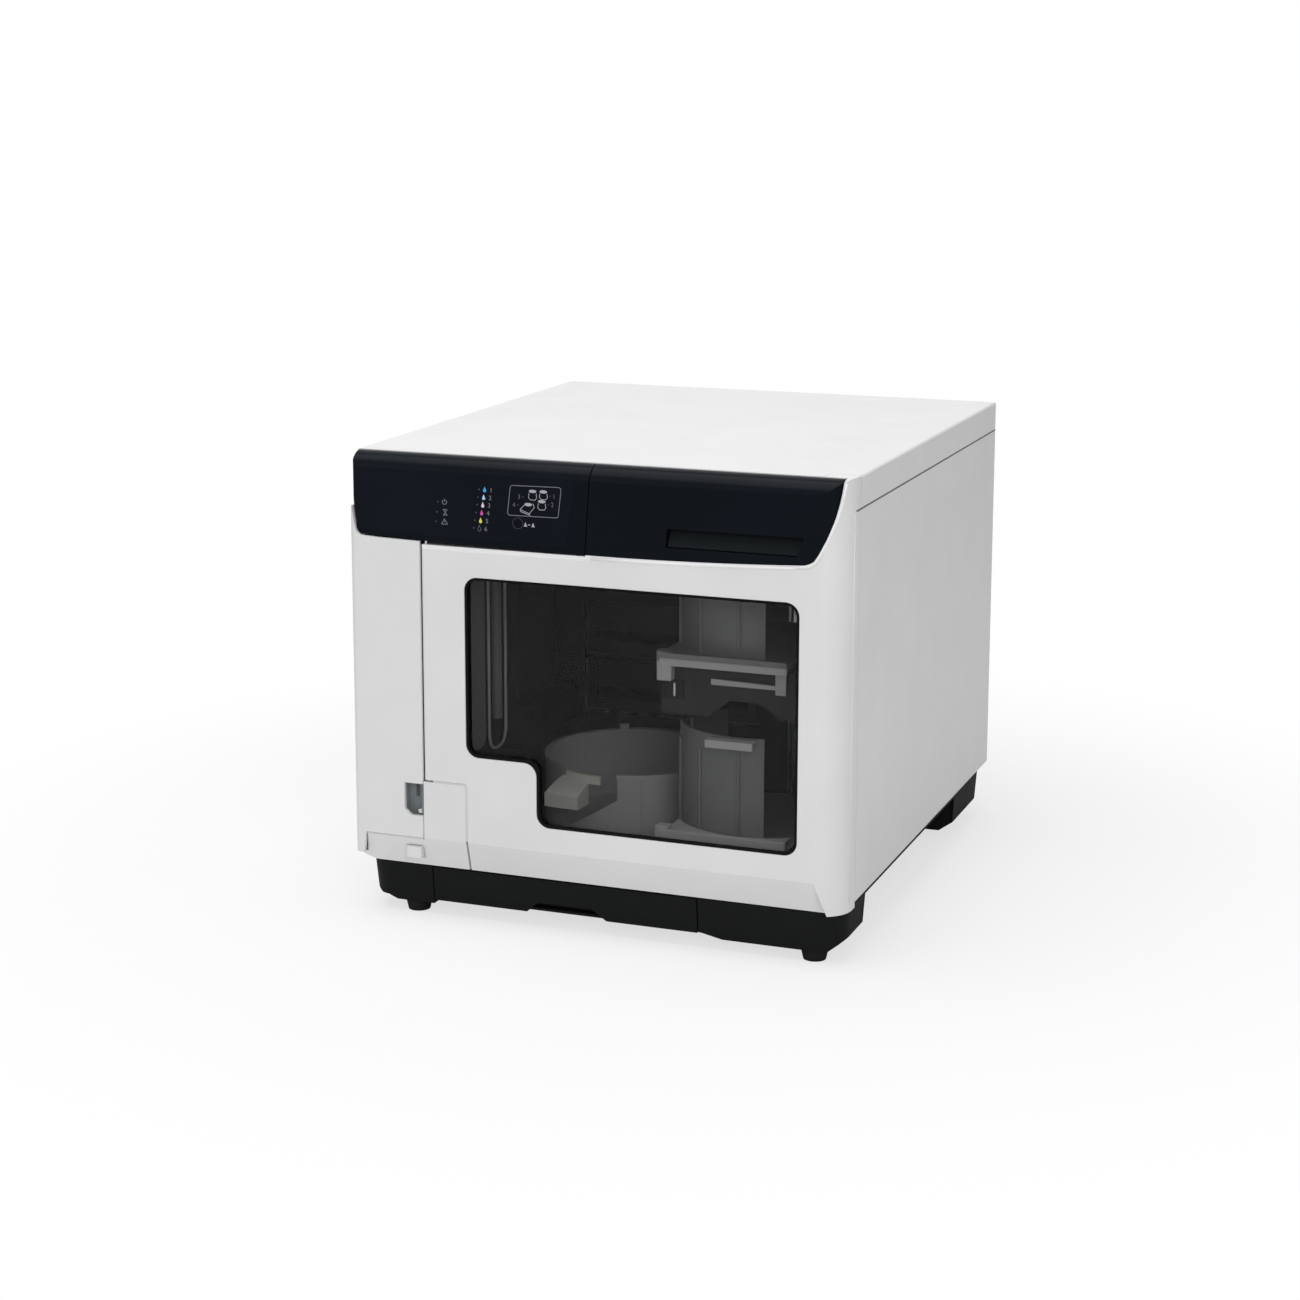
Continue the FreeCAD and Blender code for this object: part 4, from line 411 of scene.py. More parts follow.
class Look(Enum):
    """The finishes of the machine."""

    WHITE_SHELL = MouldedPlastic("white_shell_moulding", (223, 223, 224), 0.42, 0.35)
    # Shell white painted lighter: a painted highlight along the band's raised rim.
    RIM_PAINTED_HIGHLIGHT = MouldedPlastic("rim_painted_highlight", (237, 237, 238), 0.38, 0.3)
    DARK_BAND = PolishedPlastic("blue_black_gloss", (14, 19, 25), 0.22, 0.045)
    PANEL_FILM = PolishedPlastic("panel_film", (17, 21, 28), 0.3, 0.04)
    GRIP = MouldedPlastic("grip_recess", (23, 27, 29), 0.5, 0.04)
    BASE = MouldedPlastic("matt_black_base", (25, 27, 26), 0.6, 0.05)
    FEET = MattRubber("foot_rubber", (17, 17, 17))
    DARK_PARTS = SatinPlastic("satin_dark_parts", (36, 37, 38), 0.45, 0.1, clouding=0.15)
    HOLDER = SatinPlastic("holder_grey", (56, 56, 57), 0.5, 0.12)
    SOCKET = BrushedMetal("plated_socket", (185, 186, 188))
    SCREW = BrushedMetal("zinc_screw", (180, 181, 182), 0.32)
    PANE = SmokedPane("tinted_pane", (9, 9, 10), 0.195)
    GASKET = PolishedPlastic("window_rim", (9, 9, 10), 0.25, 0.1)
    CHAMBER = SatinPlastic("chamber_liner", (44, 45, 46), 0.55, 0.06, clouding=0.1)
    # Lighter and darker copies of the chamber liner: the left wall painted light, the right wall
    # painted shade.
    LEFT_LINER_PAINTED_LIGHT = SatinPlastic("left_liner", (56, 57, 58), 0.55, 0.06, clouding=0.1)
    RIGHT_LINER_PAINTED_SHADE = SatinPlastic("right_liner", (27, 27, 28), 0.55, 0.06, clouding=0.1)
    # Bin grey; also the lighter plate on the chamber's left wall, where it is a painted highlight.
    BIN = SatinPlastic("bin_plastic", (128, 129, 129), 0.5, 0.2)
    # Bin plastic painted lighter: a painted highlight on the bins' rims, lips and channel bead;
    # also the holder's pale strip.
    BIN_TRIM_AND_HIGHLIGHT = SatinPlastic("bin_trim", (180, 181, 180), 0.5, 0.2)
    LOW_BIN = SatinPlastic("low_bin_plastic", (188, 189, 189), 0.5, 0.2)
    TAB = SatinPlastic("thumb_lever", (228, 230, 222), 0.45, 0.25)
    ROD = BrushedMetal("ground_rod", (200, 202, 205), 0.16, (1.0, 1.0, 30.0), 1.2)
    SHEET = SpangledSheet("zinc_sheet", (168, 170, 172))
    BELT = MattRubber("belt_rubber", (24, 24, 24), ribbed=True)
    PULLEY = BrushedMetal("turned_aluminium", (196, 197, 200), 0.28)
    ARM = BrushedMetal("arm_casting", (140, 142, 145), 0.42, (1.0, 1.0, 1.0), 0.6, 0.02)
    MOTOR = MouldedPlastic("motor_paint", (38, 38, 40), 0.4, 0.45)
    DRIVE = SpangledSheet("drive_case_steel", (104, 106, 108), 12.0, 0.42)
    TRAY = MouldedPlastic("tray_plastic", (92, 93, 94), 0.45, 0.4)
    BOARD = BoardLaminate("board_laminate", (20, 74, 44))
    CARTRIDGE = MouldedPlastic("cartridge_plastic", (48, 48, 50), 0.45, 0.4)
    PALE_PRINT = PrintedInk("pale_print", (168, 171, 178))
    GREY_PRINT = PrintedInk("grey_print", (122, 126, 134))
    FAINT_PRINT = PrintedInk("faint_print", (58, 62, 72))
    DIM_PRINT = PrintedInk("dim_print", (92, 95, 104))
    LAMP = PolishedPlastic("lamp_lens", (70, 76, 86), 0.2, 0.5)
    CYAN = PrintedInk("cyan_mark", (60, 160, 222))
    LIGHT_CYAN = PrintedInk("light_cyan_mark", (172, 210, 228))
    LIGHT_MAGENTA = PrintedInk("light_magenta_mark", (226, 202, 226))
    MAGENTA = PrintedInk("magenta_mark", (205, 76, 160))
    YELLOW = PrintedInk("yellow_mark", (228, 214, 78))
    CONTACTS = BrushedMetal("gold_contacts", (205, 170, 90), 0.25)
    CHIP = MouldedPlastic("chip_epoxy", (26, 26, 28), 0.5, 0.4)
    NOTCH = MouldedPlastic("finger_notch_grey", (134, 138, 140), 0.5, 0.3)
    # Grey of the notch's slot, also used as painted shade in the top seams.
    SLOT_AND_SEAM_SHADE = MouldedPlastic("slot_grey_and_seam_shade", (84, 87, 89), 0.5, 0.2)

    @cache
    def material(self) -> Material:
        """The finish's material, made on its first use."""
        return self.value.make()


# Mesh tools --------------------------------------------------
class Facing(Enum):
    """Which way a flat piece faces, as its right, up and outward directions."""

    FRONT = ((1, 0, 0), (0, 0, 1), (0, -1, 0))
    LEFT = ((0, -1, 0), (0, 0, 1), (-1, 0, 0))
    RIGHT = ((0, 1, 0), (0, 0, 1), (1, 0, 0))
    UP = ((1, 0, 0), (0, 1, 0), (0, 0, 1))


def in_mm(box: tuple[Vector, Vector]) -> tuple[Vector, Vector]:
    """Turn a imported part's box from metres into millimetres."""
    return box[0] / MM, box[1] / MM


def rectangle(left: float, low: float, right: float, high: float,
              grow: float = 0.0) -> list[Point2]:
    """Corners of a rectangle from its low left one, with each side moved out by `grow`."""
    left, low, right, high = left - grow, low - grow, right + grow, high + grow
    return [(left, low), (right, low), (right, high), (left, high)]


def plate(centre: Point2, half_wide: float, half_tall: float) -> list[Point2]:
    """Corners of a rectangle round a centre."""
    x, z = centre
    return rectangle(x - half_wide, z - half_tall, x + half_wide, z + half_tall)


def arc(centre: Point2, radius: float, start: float, end: float, steps: int = 8) -> list[Point2]:
    """Lay points along an arc.

    Args:
        centre: Its centre.
        radius: Its radius.
        start: The angle in degrees at which it starts.
        end: The angle in degrees at which it ends.
        steps: Its number of segments.

    Returns:
        The points from start to end.
    """
    points = []
    for i in range(steps + 1):
        angle = math.radians(start + (end - start) * i / steps)
        points.append((centre[0] + radius * math.cos(angle), centre[1] + radius * math.sin(angle)))
    return points


def circle(centre: Point2, radius: float, steps: int = 24) -> list[Point2]:
    """Points round a circle."""
    return arc(centre, radius, 0, 360 - 360 / steps, steps - 1)


def oval(centre: Point2, wide: float, tall: float) -> list[Point2]:
    """Points round an ellipse, given by its half axes."""
    return [(centre[0] + x * wide, centre[1] + y * tall) for x, y in circle((0, 0), 1)]


def round_box(corners: Outline, radius: float, steps: int = 5) -> list[Point2]:
    """Round the corners of a polygon.

    Args:
        corners: The polygon, counter-clockwise.
        radius: Radius of each corner.
        steps: Segments of each corner.

    Returns:
        The rounded outline.
    """
    outline = []
    count = len(corners)
    for i, corner in enumerate(corners):
        here = Vector(corner)
        before = (Vector(corners[i - 1]) - here).normalized()
        after = (Vector(corners[(i + 1) % count]) - here).normalized()
        reach = radius / math.tan(before.angle(after) / 2)
        start, end = here + before * reach, here + after * reach
        for k in range(steps + 1):
            t = k / steps
            spot = start * (1 - t) ** 2 + here * 2 * t * (1 - t) + end * t ** 2
            outline.append((spot.x, spot.y))
    return outline


class Form:
    """A mesh under construction, laid out in millimetres on a flat place of the machine."""

    def __init__(self, facing: Facing = Facing.FRONT, origin: Point3 = (0.0, 0.0, 0.0)) -> None:
        """Start an empty mesh.

        Args:
            facing: Which way its plane faces.
            origin: A point of that plane.
        """
        self.origin = Vector(origin)
        self.right, self.high, self.outward = (Vector(v) for v in facing.value)
        self.mesh = bmesh.new()

    def loop(self, outline: Outline, level: float) -> list[bmesh.types.BMVert]:
        """Add the corners of an outline at a level above the plane.

        Args:
            outline: Its corners in order.
            level: Their level.

        Returns:
            The mesh's corners.
        """
        corners = []
        for across, up in outline:
            place = self.origin + self.right * across + self.high * up + self.outward * level
            corners.append(self.mesh.verts.new(place * MM))
        return corners

    def wrap(self, first: list[bmesh.types.BMVert], second: list[bmesh.types.BMVert]) -> None:
        """Join two loops of corners by a face on each of their sides."""
        for corners in zip(first, first[1:] + first[:1], second[1:] + second[:1], second):
            self.mesh.faces.new(corners)

    def prism(self, outline: Outline, high: float, low: float = 0.0) -> None:
        """Add a straight-sided solid.

        Args:
            outline: Its outline.
            high: The level of its outer face.
            low: The level of its inner face.
        """
        under, over = self.loop(outline, low), self.loop(outline, high)
        self.mesh.faces.new(under[::-1])
        self.mesh.faces.new(over)
        self.wrap(under, over)

    def block(self, low: Point3, high: Point3) -> None:
        """Add a square block between two corners, on a form that faces up."""
        self.prism(rectangle(*low[:2], *high[:2]), high[2], low[2])

    def band(self, outer: Outline, inner: Outline, high: float, low: float = 0.0) -> None:
        """Add a solid band between two outlines with as many corners.

        Args:
            outer: The outer outline.
            inner: The inner outline.
            high: The level of its outer face.
            low: The level of its inner face.
        """
        loops = [self.loop(outer, low), self.loop(outer, high), self.loop(inner, high),
                 self.loop(inner, low)]
        for first, second in zip(loops, loops[1:] + loops[:1]):
            self.wrap(first, second)

    def stroke(self, points: Outline, width: float, high: float, closed: bool = False) -> None:
        """Add a printed line of even width.

        Args:
            points: Its middle line.
            width: Its width.
            high: Its thickness.
            closed: Whether its end joins its start.
        """
        sharpest = 0.4
        count = len(points)
        left, right = [], []
        for i, point in enumerate(points):
            here = Vector(point)
            legs = []
            if closed or i > 0:
                legs.append((here - Vector(points[i - 1])).normalized())
            if closed or i < count - 1:
                legs.append((Vector(points[(i + 1) % count]) - here).normalized())
            along = sum(legs, Vector((0, 0))).normalized()
            reach = width / 2 / max(sharpest, abs(along.dot(legs[0])))
            across = Vector((-along.y, along.x)) * reach
            left.append(tuple(here + across))
            right.append(tuple(here - across))
        if closed:
            self.band(right, left, high)
        else:
            self.prism(left + right[::-1], high)

    def bead(self, points: Sequence[Vector], radius: float, closed: bool = False) -> None:
        """Add a round bead, placed in the machine's own axes.

        Args:
            points: Its middle line.
            radius: Its radius.
            closed: Whether its end joins its start.
        """
        sides = 10
        count = len(points)
        rings = []
        for i, point in enumerate(points):
            before = points[i - 1] if closed or i > 0 else point
            after = points[(i + 1) % count] if closed or i < count - 1 else point
            along = (after - before).normalized()
            side = along.cross(Vector((1, 0, 0)))
            if side.length < 0.1:
                side = along.cross(Vector((0, 1, 0)))
            side.normalize()
            up = along.cross(side)
            ring = []
            for k in range(sides):
                angle = math.tau * k / sides
                offset = side * math.cos(angle) + up * math.sin(angle)
                ring.append(self.mesh.verts.new((point + offset * radius) * MM))
            rings.append(ring)
        for i in range(count if closed else count - 1):
            self.wrap(rings[i], rings[(i + 1) % count])
        if not closed:
            self.mesh.faces.new(rings[0][::-1])
            self.mesh.faces.new(rings[-1])

    def numeral(self, text: str, centre: Point2, tall: float, level: float) -> None:
        """Add the flat face of a plain number.

        Args:
            text: Its digits.
            centre: Its middle.
            tall: Its height along the plane.
            level: Its level above the plane.
        """
        curve = bpy.data.curves.new("numeral", "FONT")
        curve.body = text
        curve.align_x = "CENTER"
        curve.size = 1.0
        curve.resolution_u = 4
        holder = bpy.data.objects.new("numeral", curve)
        flat = bpy.data.meshes.new_from_object(holder)
        low = min(v.co.y for v in flat.vertices)
        top = max(v.co.y for v in flat.vertices)
        scale = tall / (top - low)
        middle = (top + low) / 2
        corners = self.loop([(centre[0] + v.co.x * scale, centre[1] + (v.co.y - middle) * scale)
                             for v in flat.vertices], level)
        for polygon in flat.polygons:
            self.mesh.faces.new([corners[i] for i in polygon.vertices])
        bpy.data.objects.remove(holder)
        bpy.data.curves.remove(curve)
        bpy.data.meshes.remove(flat)


def before_face(y: float) -> Form:
    """Start a form on the upright plane at that depth, facing the front."""
    return Form(origin=(0.0, y, 0.0))


# Studio ------------------------------------------------------
@dataclass(frozen=True)
class Lamp:
    """A round soft lamp: its place and size in metres, and its power in watts."""

    name: str
    place: Point3
    size: float
    power: float

    def hang(self, target: Point3) -> None:
        """Hang the lamp and aim it.

        Args:
            target: The point that it faces, in metres.
        """
        data = bpy.data.lights.new(self.name, "AREA")
        data.shape = "DISK"
        data.size = self.size
        data.energy = self.power
        lamp = bpy.data.objects.new(self.name, data)
        lamp.location = self.place
        aim = Vector(target) - Vector(self.place)
        lamp.rotation_euler = aim.to_track_quat("-Z", "Y").to_euler()
        bpy.context.scene.collection.objects.link(lamp)


@dataclass
class Studio:
    """Camera, pale floor and soft lamps, in metres and degrees."""

    camera_place: Point3 = (0.6792, -1.9199, 0.6428)
    camera_down: float = 10.62
    camera_turn: float = 20.99
    lens: float = 73.13
    shift: Point2 = (0.0139, -0.0913)
    room_level: float = 0.36
    floor_size: float = 6.0
    floor_grey: float = 0.86
    paper_share: float = 0.68
    fade: Point2 = (0.33, 0.72)
    target: Point3 = (0, 0, 0.17)
    lamps: tuple[Lamp, ...] = (
        Lamp("overhead", (-0.3, -0.4, 2.6), 2.4, 44.0),
        Lamp("front_left", (-1.9, -2.6, 1.5), 1.8, 4.5),
        Lamp("front_right", (1.25, -2.3, 1.2), 1.4, 18.6))
    white: ClassVar[tuple[float, float, float, float]] = (1.0, 1.0, 1.0, 1.0)

    def stand_camera(self) -> None:
        """Place the camera."""
        data = bpy.data.cameras.new("camera")
        data.lens = self.lens
        data.sensor_width = 36.0
        data.shift_x, data.shift_y = self.shift
        camera = bpy.data.objects.new("camera", data)
        camera.location = self.camera_place
        camera.rotation_euler = (math.radians(90 - self.camera_down), 0,
                                 math.radians(self.camera_turn))
        bpy.context.scene.collection.objects.link(camera)
        bpy.context.scene.camera = camera

    def paint_floor(self) -> Material:
        """Mix a floor that is paint to light, and white with a shadow to the camera.

        Returns:
            The floor's material.
        """
        surface = Surface("pale_floor")
        grey = self.floor_grey
        paint = surface.add("ShaderNodeBsdfDiffuse", Color=(grey, grey, grey, 1.0))
        paper = surface.add("ShaderNodeEmission", Color=self.white, Strength=1.0)
        near = surface.mix(paint, paper, Fac=self.paper_share)
        distance = surface.add("ShaderNodeVectorMath")
        distance.operation = "LENGTH"
        surface.join(surface.place(), "Vector", distance, "Vector")
        fade = surface.add("ShaderNodeMapRange", From_Min=self.fade[0], From_Max=self.fade[1])
        fade.interpolation_type = "SMOOTHSTEP"
        surface.join(distance, "Value", fade, "Value")
        seen = surface.mix(near, paper)
        surface.join(fade, "Result", seen, "Fac")
        either = surface.mix(paint, seen)
        surface.join(surface.add("ShaderNodeLightPath"), "Is Camera Ray", either, "Fac")
        surface.join(either, 0, surface.output, "Surface")
        return surface.material

    def lay_floor(self) -> None:
        """Lay the pale floor, which looks white to the camera and keeps the shadow."""
        mesh = bmesh.new()
        bmesh.ops.create_grid(mesh, x_segments=8, y_segments=8, size=self.floor_size)
        data = bpy.data.meshes.new("floor")
        mesh.to_mesh(data)
        mesh.free()
        floor = bpy.data.objects.new("floor", data)
        bpy.context.scene.collection.objects.link(floor)
        data.materials.append(self.paint_floor())

    def fill_world(self) -> None:
        """White to the camera, to gloss and through glass, and a plain grey level as light."""
        world = bpy.data.worlds.new("studio")
        bpy.context.scene.world = world
        graph = Graph(world, "ShaderNodeOutputWorld")
        room = graph.add("ShaderNodeBackground", Color=self.white, Strength=self.room_level)
        white = graph.add("ShaderNodeBackground", Color=self.white, Strength=1.0)
        path = graph.add("ShaderNodeLightPath")
        seen, out = path, "Is Camera Ray"
        for ray in ("Is Glossy Ray", "Is Transmission Ray"):
            either = graph.add("ShaderNodeMath")
            either.operation = "MAXIMUM"
            graph.join(seen, out, either, 0)
            graph.join(path, ray, either, 1)
            seen, out = either, 0
        mix = graph.mix(room, white)
        graph.join(seen, out, mix, "Fac")
        graph.join(mix, 0, graph.output, "Surface")

    def build(self) -> None:
        """Set the whole studio up."""
        bpy.context.scene.view_settings.view_transform = "Standard"
        self.stand_camera()
        self.lay_floor()
        self.fill_world()
        for lamp in self.lamps:
            lamp.hang(self.target)


# Sub-assemblies ----------------------------------------------
@dataclass
class SubAssembly:
    """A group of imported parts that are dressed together, and the pieces added to them."""

    title: ClassVar[str] = ""
    body: ClassVar[str] = "cabinet"
    finishes: ClassVar[dict[str, Look]] = {}
    made: list[str] = field(default_factory=list, kw_only=True)

    def dress(self, node: str, finish: Look) -> None:
        """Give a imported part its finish.

        Args:
            node: The part's name.
            finish: Its finish.
        """
        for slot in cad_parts[node].material_slots:
            slot.material = finish.material()
        self.made.append(node)

    def keep(self, name: str, form: Form, finish: Look, smooth: bool = False,
             bevel_mm: float = 0.0) -> bpy.types.Object:
        """Turn a form into a piece that rides on the group's body.

        Args:
            name: The piece's name.
            form: Its form, which is used up.
            finish: Its finish.
            smooth: Whether its faces are shaded smooth.
            bevel_mm: Radius by which its edges are rounded.

        Returns:
            The piece.
        """
        mesh = form.mesh
        bmesh.ops.remove_doubles(mesh, verts=mesh.verts, dist=1e-7)
        bmesh.ops.recalc_face_normals(mesh, faces=mesh.faces)
        data = bpy.data.meshes.new(name)
        mesh.to_mesh(data)
        mesh.free()
        piece = bpy.data.objects.new(name, data)
        bpy.context.scene.collection.objects.link(piece)
        piece.data.materials.append(finish.material())
        for face in data.polygons:
            face.use_smooth = smooth
        if bevel_mm > 0:
            rounding = piece.modifiers.new("rounding", "BEVEL")
            rounding.width = bevel_mm * MM
            rounding.segments = 3
            rounding.limit_method = "ANGLE"
            rounding.angle_limit = math.radians(40)
        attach(piece, self.body)
        self.made.append(name)
        return piece

    def fit(self) -> None:
        """Add the group's pieces, of which a plain group has none."""

    def build(self) -> None:
        """Dress the parts, add the pieces and report them all."""
        for node, finish in self.finishes.items():
            self.dress(node, finish)
        self.fit()
        LOG.info("%s: %s", self.title, ", ".join(self.made))


@dataclass
class Casing(SubAssembly):
    """White shell, black base, feet and the rear with its sockets and screws."""

    title = "casing"
    finishes = {
        "top_cover": Look.WHITE_SHELL,
        "side_panel_left": Look.WHITE_SHELL,
        "side_panel_right": Look.WHITE_SHELL,
        "rear_cover": Look.WHITE_SHELL,
        "lower_front_panel": Look.WHITE_SHELL,
        "base_frame": Look.BASE,
        "rubber_feet": Look.FEET,
        "power_inlet": Look.DARK_PARTS,
        "data_socket": Look.SOCKET,
        "rear_screws": Look.SCREW,
        "cover_hinge_pins": Look.ROD,
        "stacker_4_drawer": Look.BASE,
        "power_button": Look.WHITE_SHELL,
        "ink_cover": Look.WHITE_SHELL,
    }

    front: float = -232.5
    lip_root: float = -3.0
    flap_lip_top: float = -0.55
    panel_lip_top: float = -0.6
    seat_top: float = -0.5
    flap_lip: Outline = ((-98.0, 64.5), (-96.8, 64.5), (-96.8, 106.1), (-98.2, 107.7),
                         (-124.0, 107.7), (-124.0, 106.5), (-99.2, 106.5), (-98.0, 105.3))
    panel_lip: Box2 = (-180.5, 62.4, -133.0, 63.15)
    seat_outer: Box2 = (-147.3, 46.3, -133.5, 57.1)
    seat_inner: Box2 = (-146.35, 47.0, -134.45, 56.3)
    slope_top: float = 63.5
    slope_height: float = 23.5
    slope_depth: float = 10.0
    seam_shade_low: Point3 = (187.6, -213.5, 324.4)
    seam_shade_high: Point3 = (188.62, 192.0, 325.55)
    bead_place: Point2 = (187.9, -215.5)
    bead_levels: tuple[float, ...] = (46.0, 140.0, 230.0, 324.0)
    bead_radius: float = 0.55
    cup: Box2 = (-148.6, 77.5, -133.4, 106.5)
    cup_face: float = -229.2
    cup_wall: float = 1.4
    cup_depth: float = 6.5
    cup_floor: float = 1.1
    slot: Box2 = (-141.6, 92.0, -139.6, 104.5)
    slot_round: float = 0.6
    slot_top: float = -5.6
    catch: Box2 = (-138.5, 80.5, -134.0, 83.6)
    catch_round: float = 0.8
    catch_top: float = -1.6

    def fit(self) -> None:
        """Add the casing's lips, the painted shade of its top seams and the cup of the finger
        notch.
        """
        self.line_grooves()
        self.shade_seams()
        self.fit_cup()

    def line_grooves(self) -> None:
        """Run a shallow lip along the flap, the lower panel and the power button's seat."""
        lip, seat = before_face(self.front), before_face(self.front)
        lip.prism(self.flap_lip, self.flap_lip_top, self.lip_root)
        lip.prism(rectangle(*self.panel_lip), self.panel_lip_top, self.lip_root)
        self.keep("flap_groove_lip", lip, Look.WHITE_SHELL)
        seat.band(rectangle(*self.seat_outer), rectangle(*self.seat_inner), self.seat_top,
                  self.lip_root)
        lean = self.slope_depth / self.slope_height
        for vertex in seat.mesh.verts:
            vertex.co.y += (self.slope_top - vertex.co.z / MM) * lean * MM
        self.keep("button_seat_lip", seat, Look.WHITE_SHELL)

    def shade_seams(self) -> None:
        """Lay dark grey strips in the seams under the top as painted shade, and a bead down the
        right front edge.
        """
        seam_shade, edge = Form(Facing.UP), Form()
        x0, y0, z0 = self.seam_shade_low
        x1, y1, z1 = self.seam_shade_high
        seam_shade.block((-x1, y0, z0), (-x0, y1, z1))
        seam_shade.block((x0, y0, z0), (x1, y1, z1))
        # Dark grey strips in the seam gaps: painted shade that makes the seams look darker and
        # wider.
        self.keep("top_seam_painted_shade", seam_shade, Look.SLOT_AND_SEAM_SHADE)
        edge.bead([Vector((*self.bead_place, z)) for z in self.bead_levels], self.bead_radius)
        self.keep("side_front_bead", edge, Look.WHITE_SHELL, smooth=True)

    def fit_cup(self) -> None:
        """Stand a shallow grey cup with a catch rib behind the finger notch of the ink cover."""
        cup, slot, catch = (before_face(self.cup_face) for _ in range(3))
        floor = -self.cup_depth
        outer, inner = rectangle(*self.cup), rectangle(*self.cup, grow=-self.cup_wall)
        cup.band(outer, inner, 0.0, floor)
        cup.prism(outer, floor, floor - self.cup_floor)
        self.keep("finger_cup", cup, Look.NOTCH, bevel_mm=0.5)
        slot.prism(round_box(rectangle(*self.slot), self.slot_round), self.slot_top, floor)
        self.keep("cup_slot", slot, Look.SLOT_AND_SEAM_SHADE)
        catch.prism(round_box(rectangle(*self.catch), self.catch_round), self.catch_top, floor)
        self.keep("cup_catch", catch, Look.WHITE_SHELL, bevel_mm=0.4)


@dataclass(frozen=True)
class InkMark:
    """One ink's drop on the control panel: its place, finish, number and whether it is hollow."""

    place: Point2
    finish: Look
    number: str
    hollow: bool = False


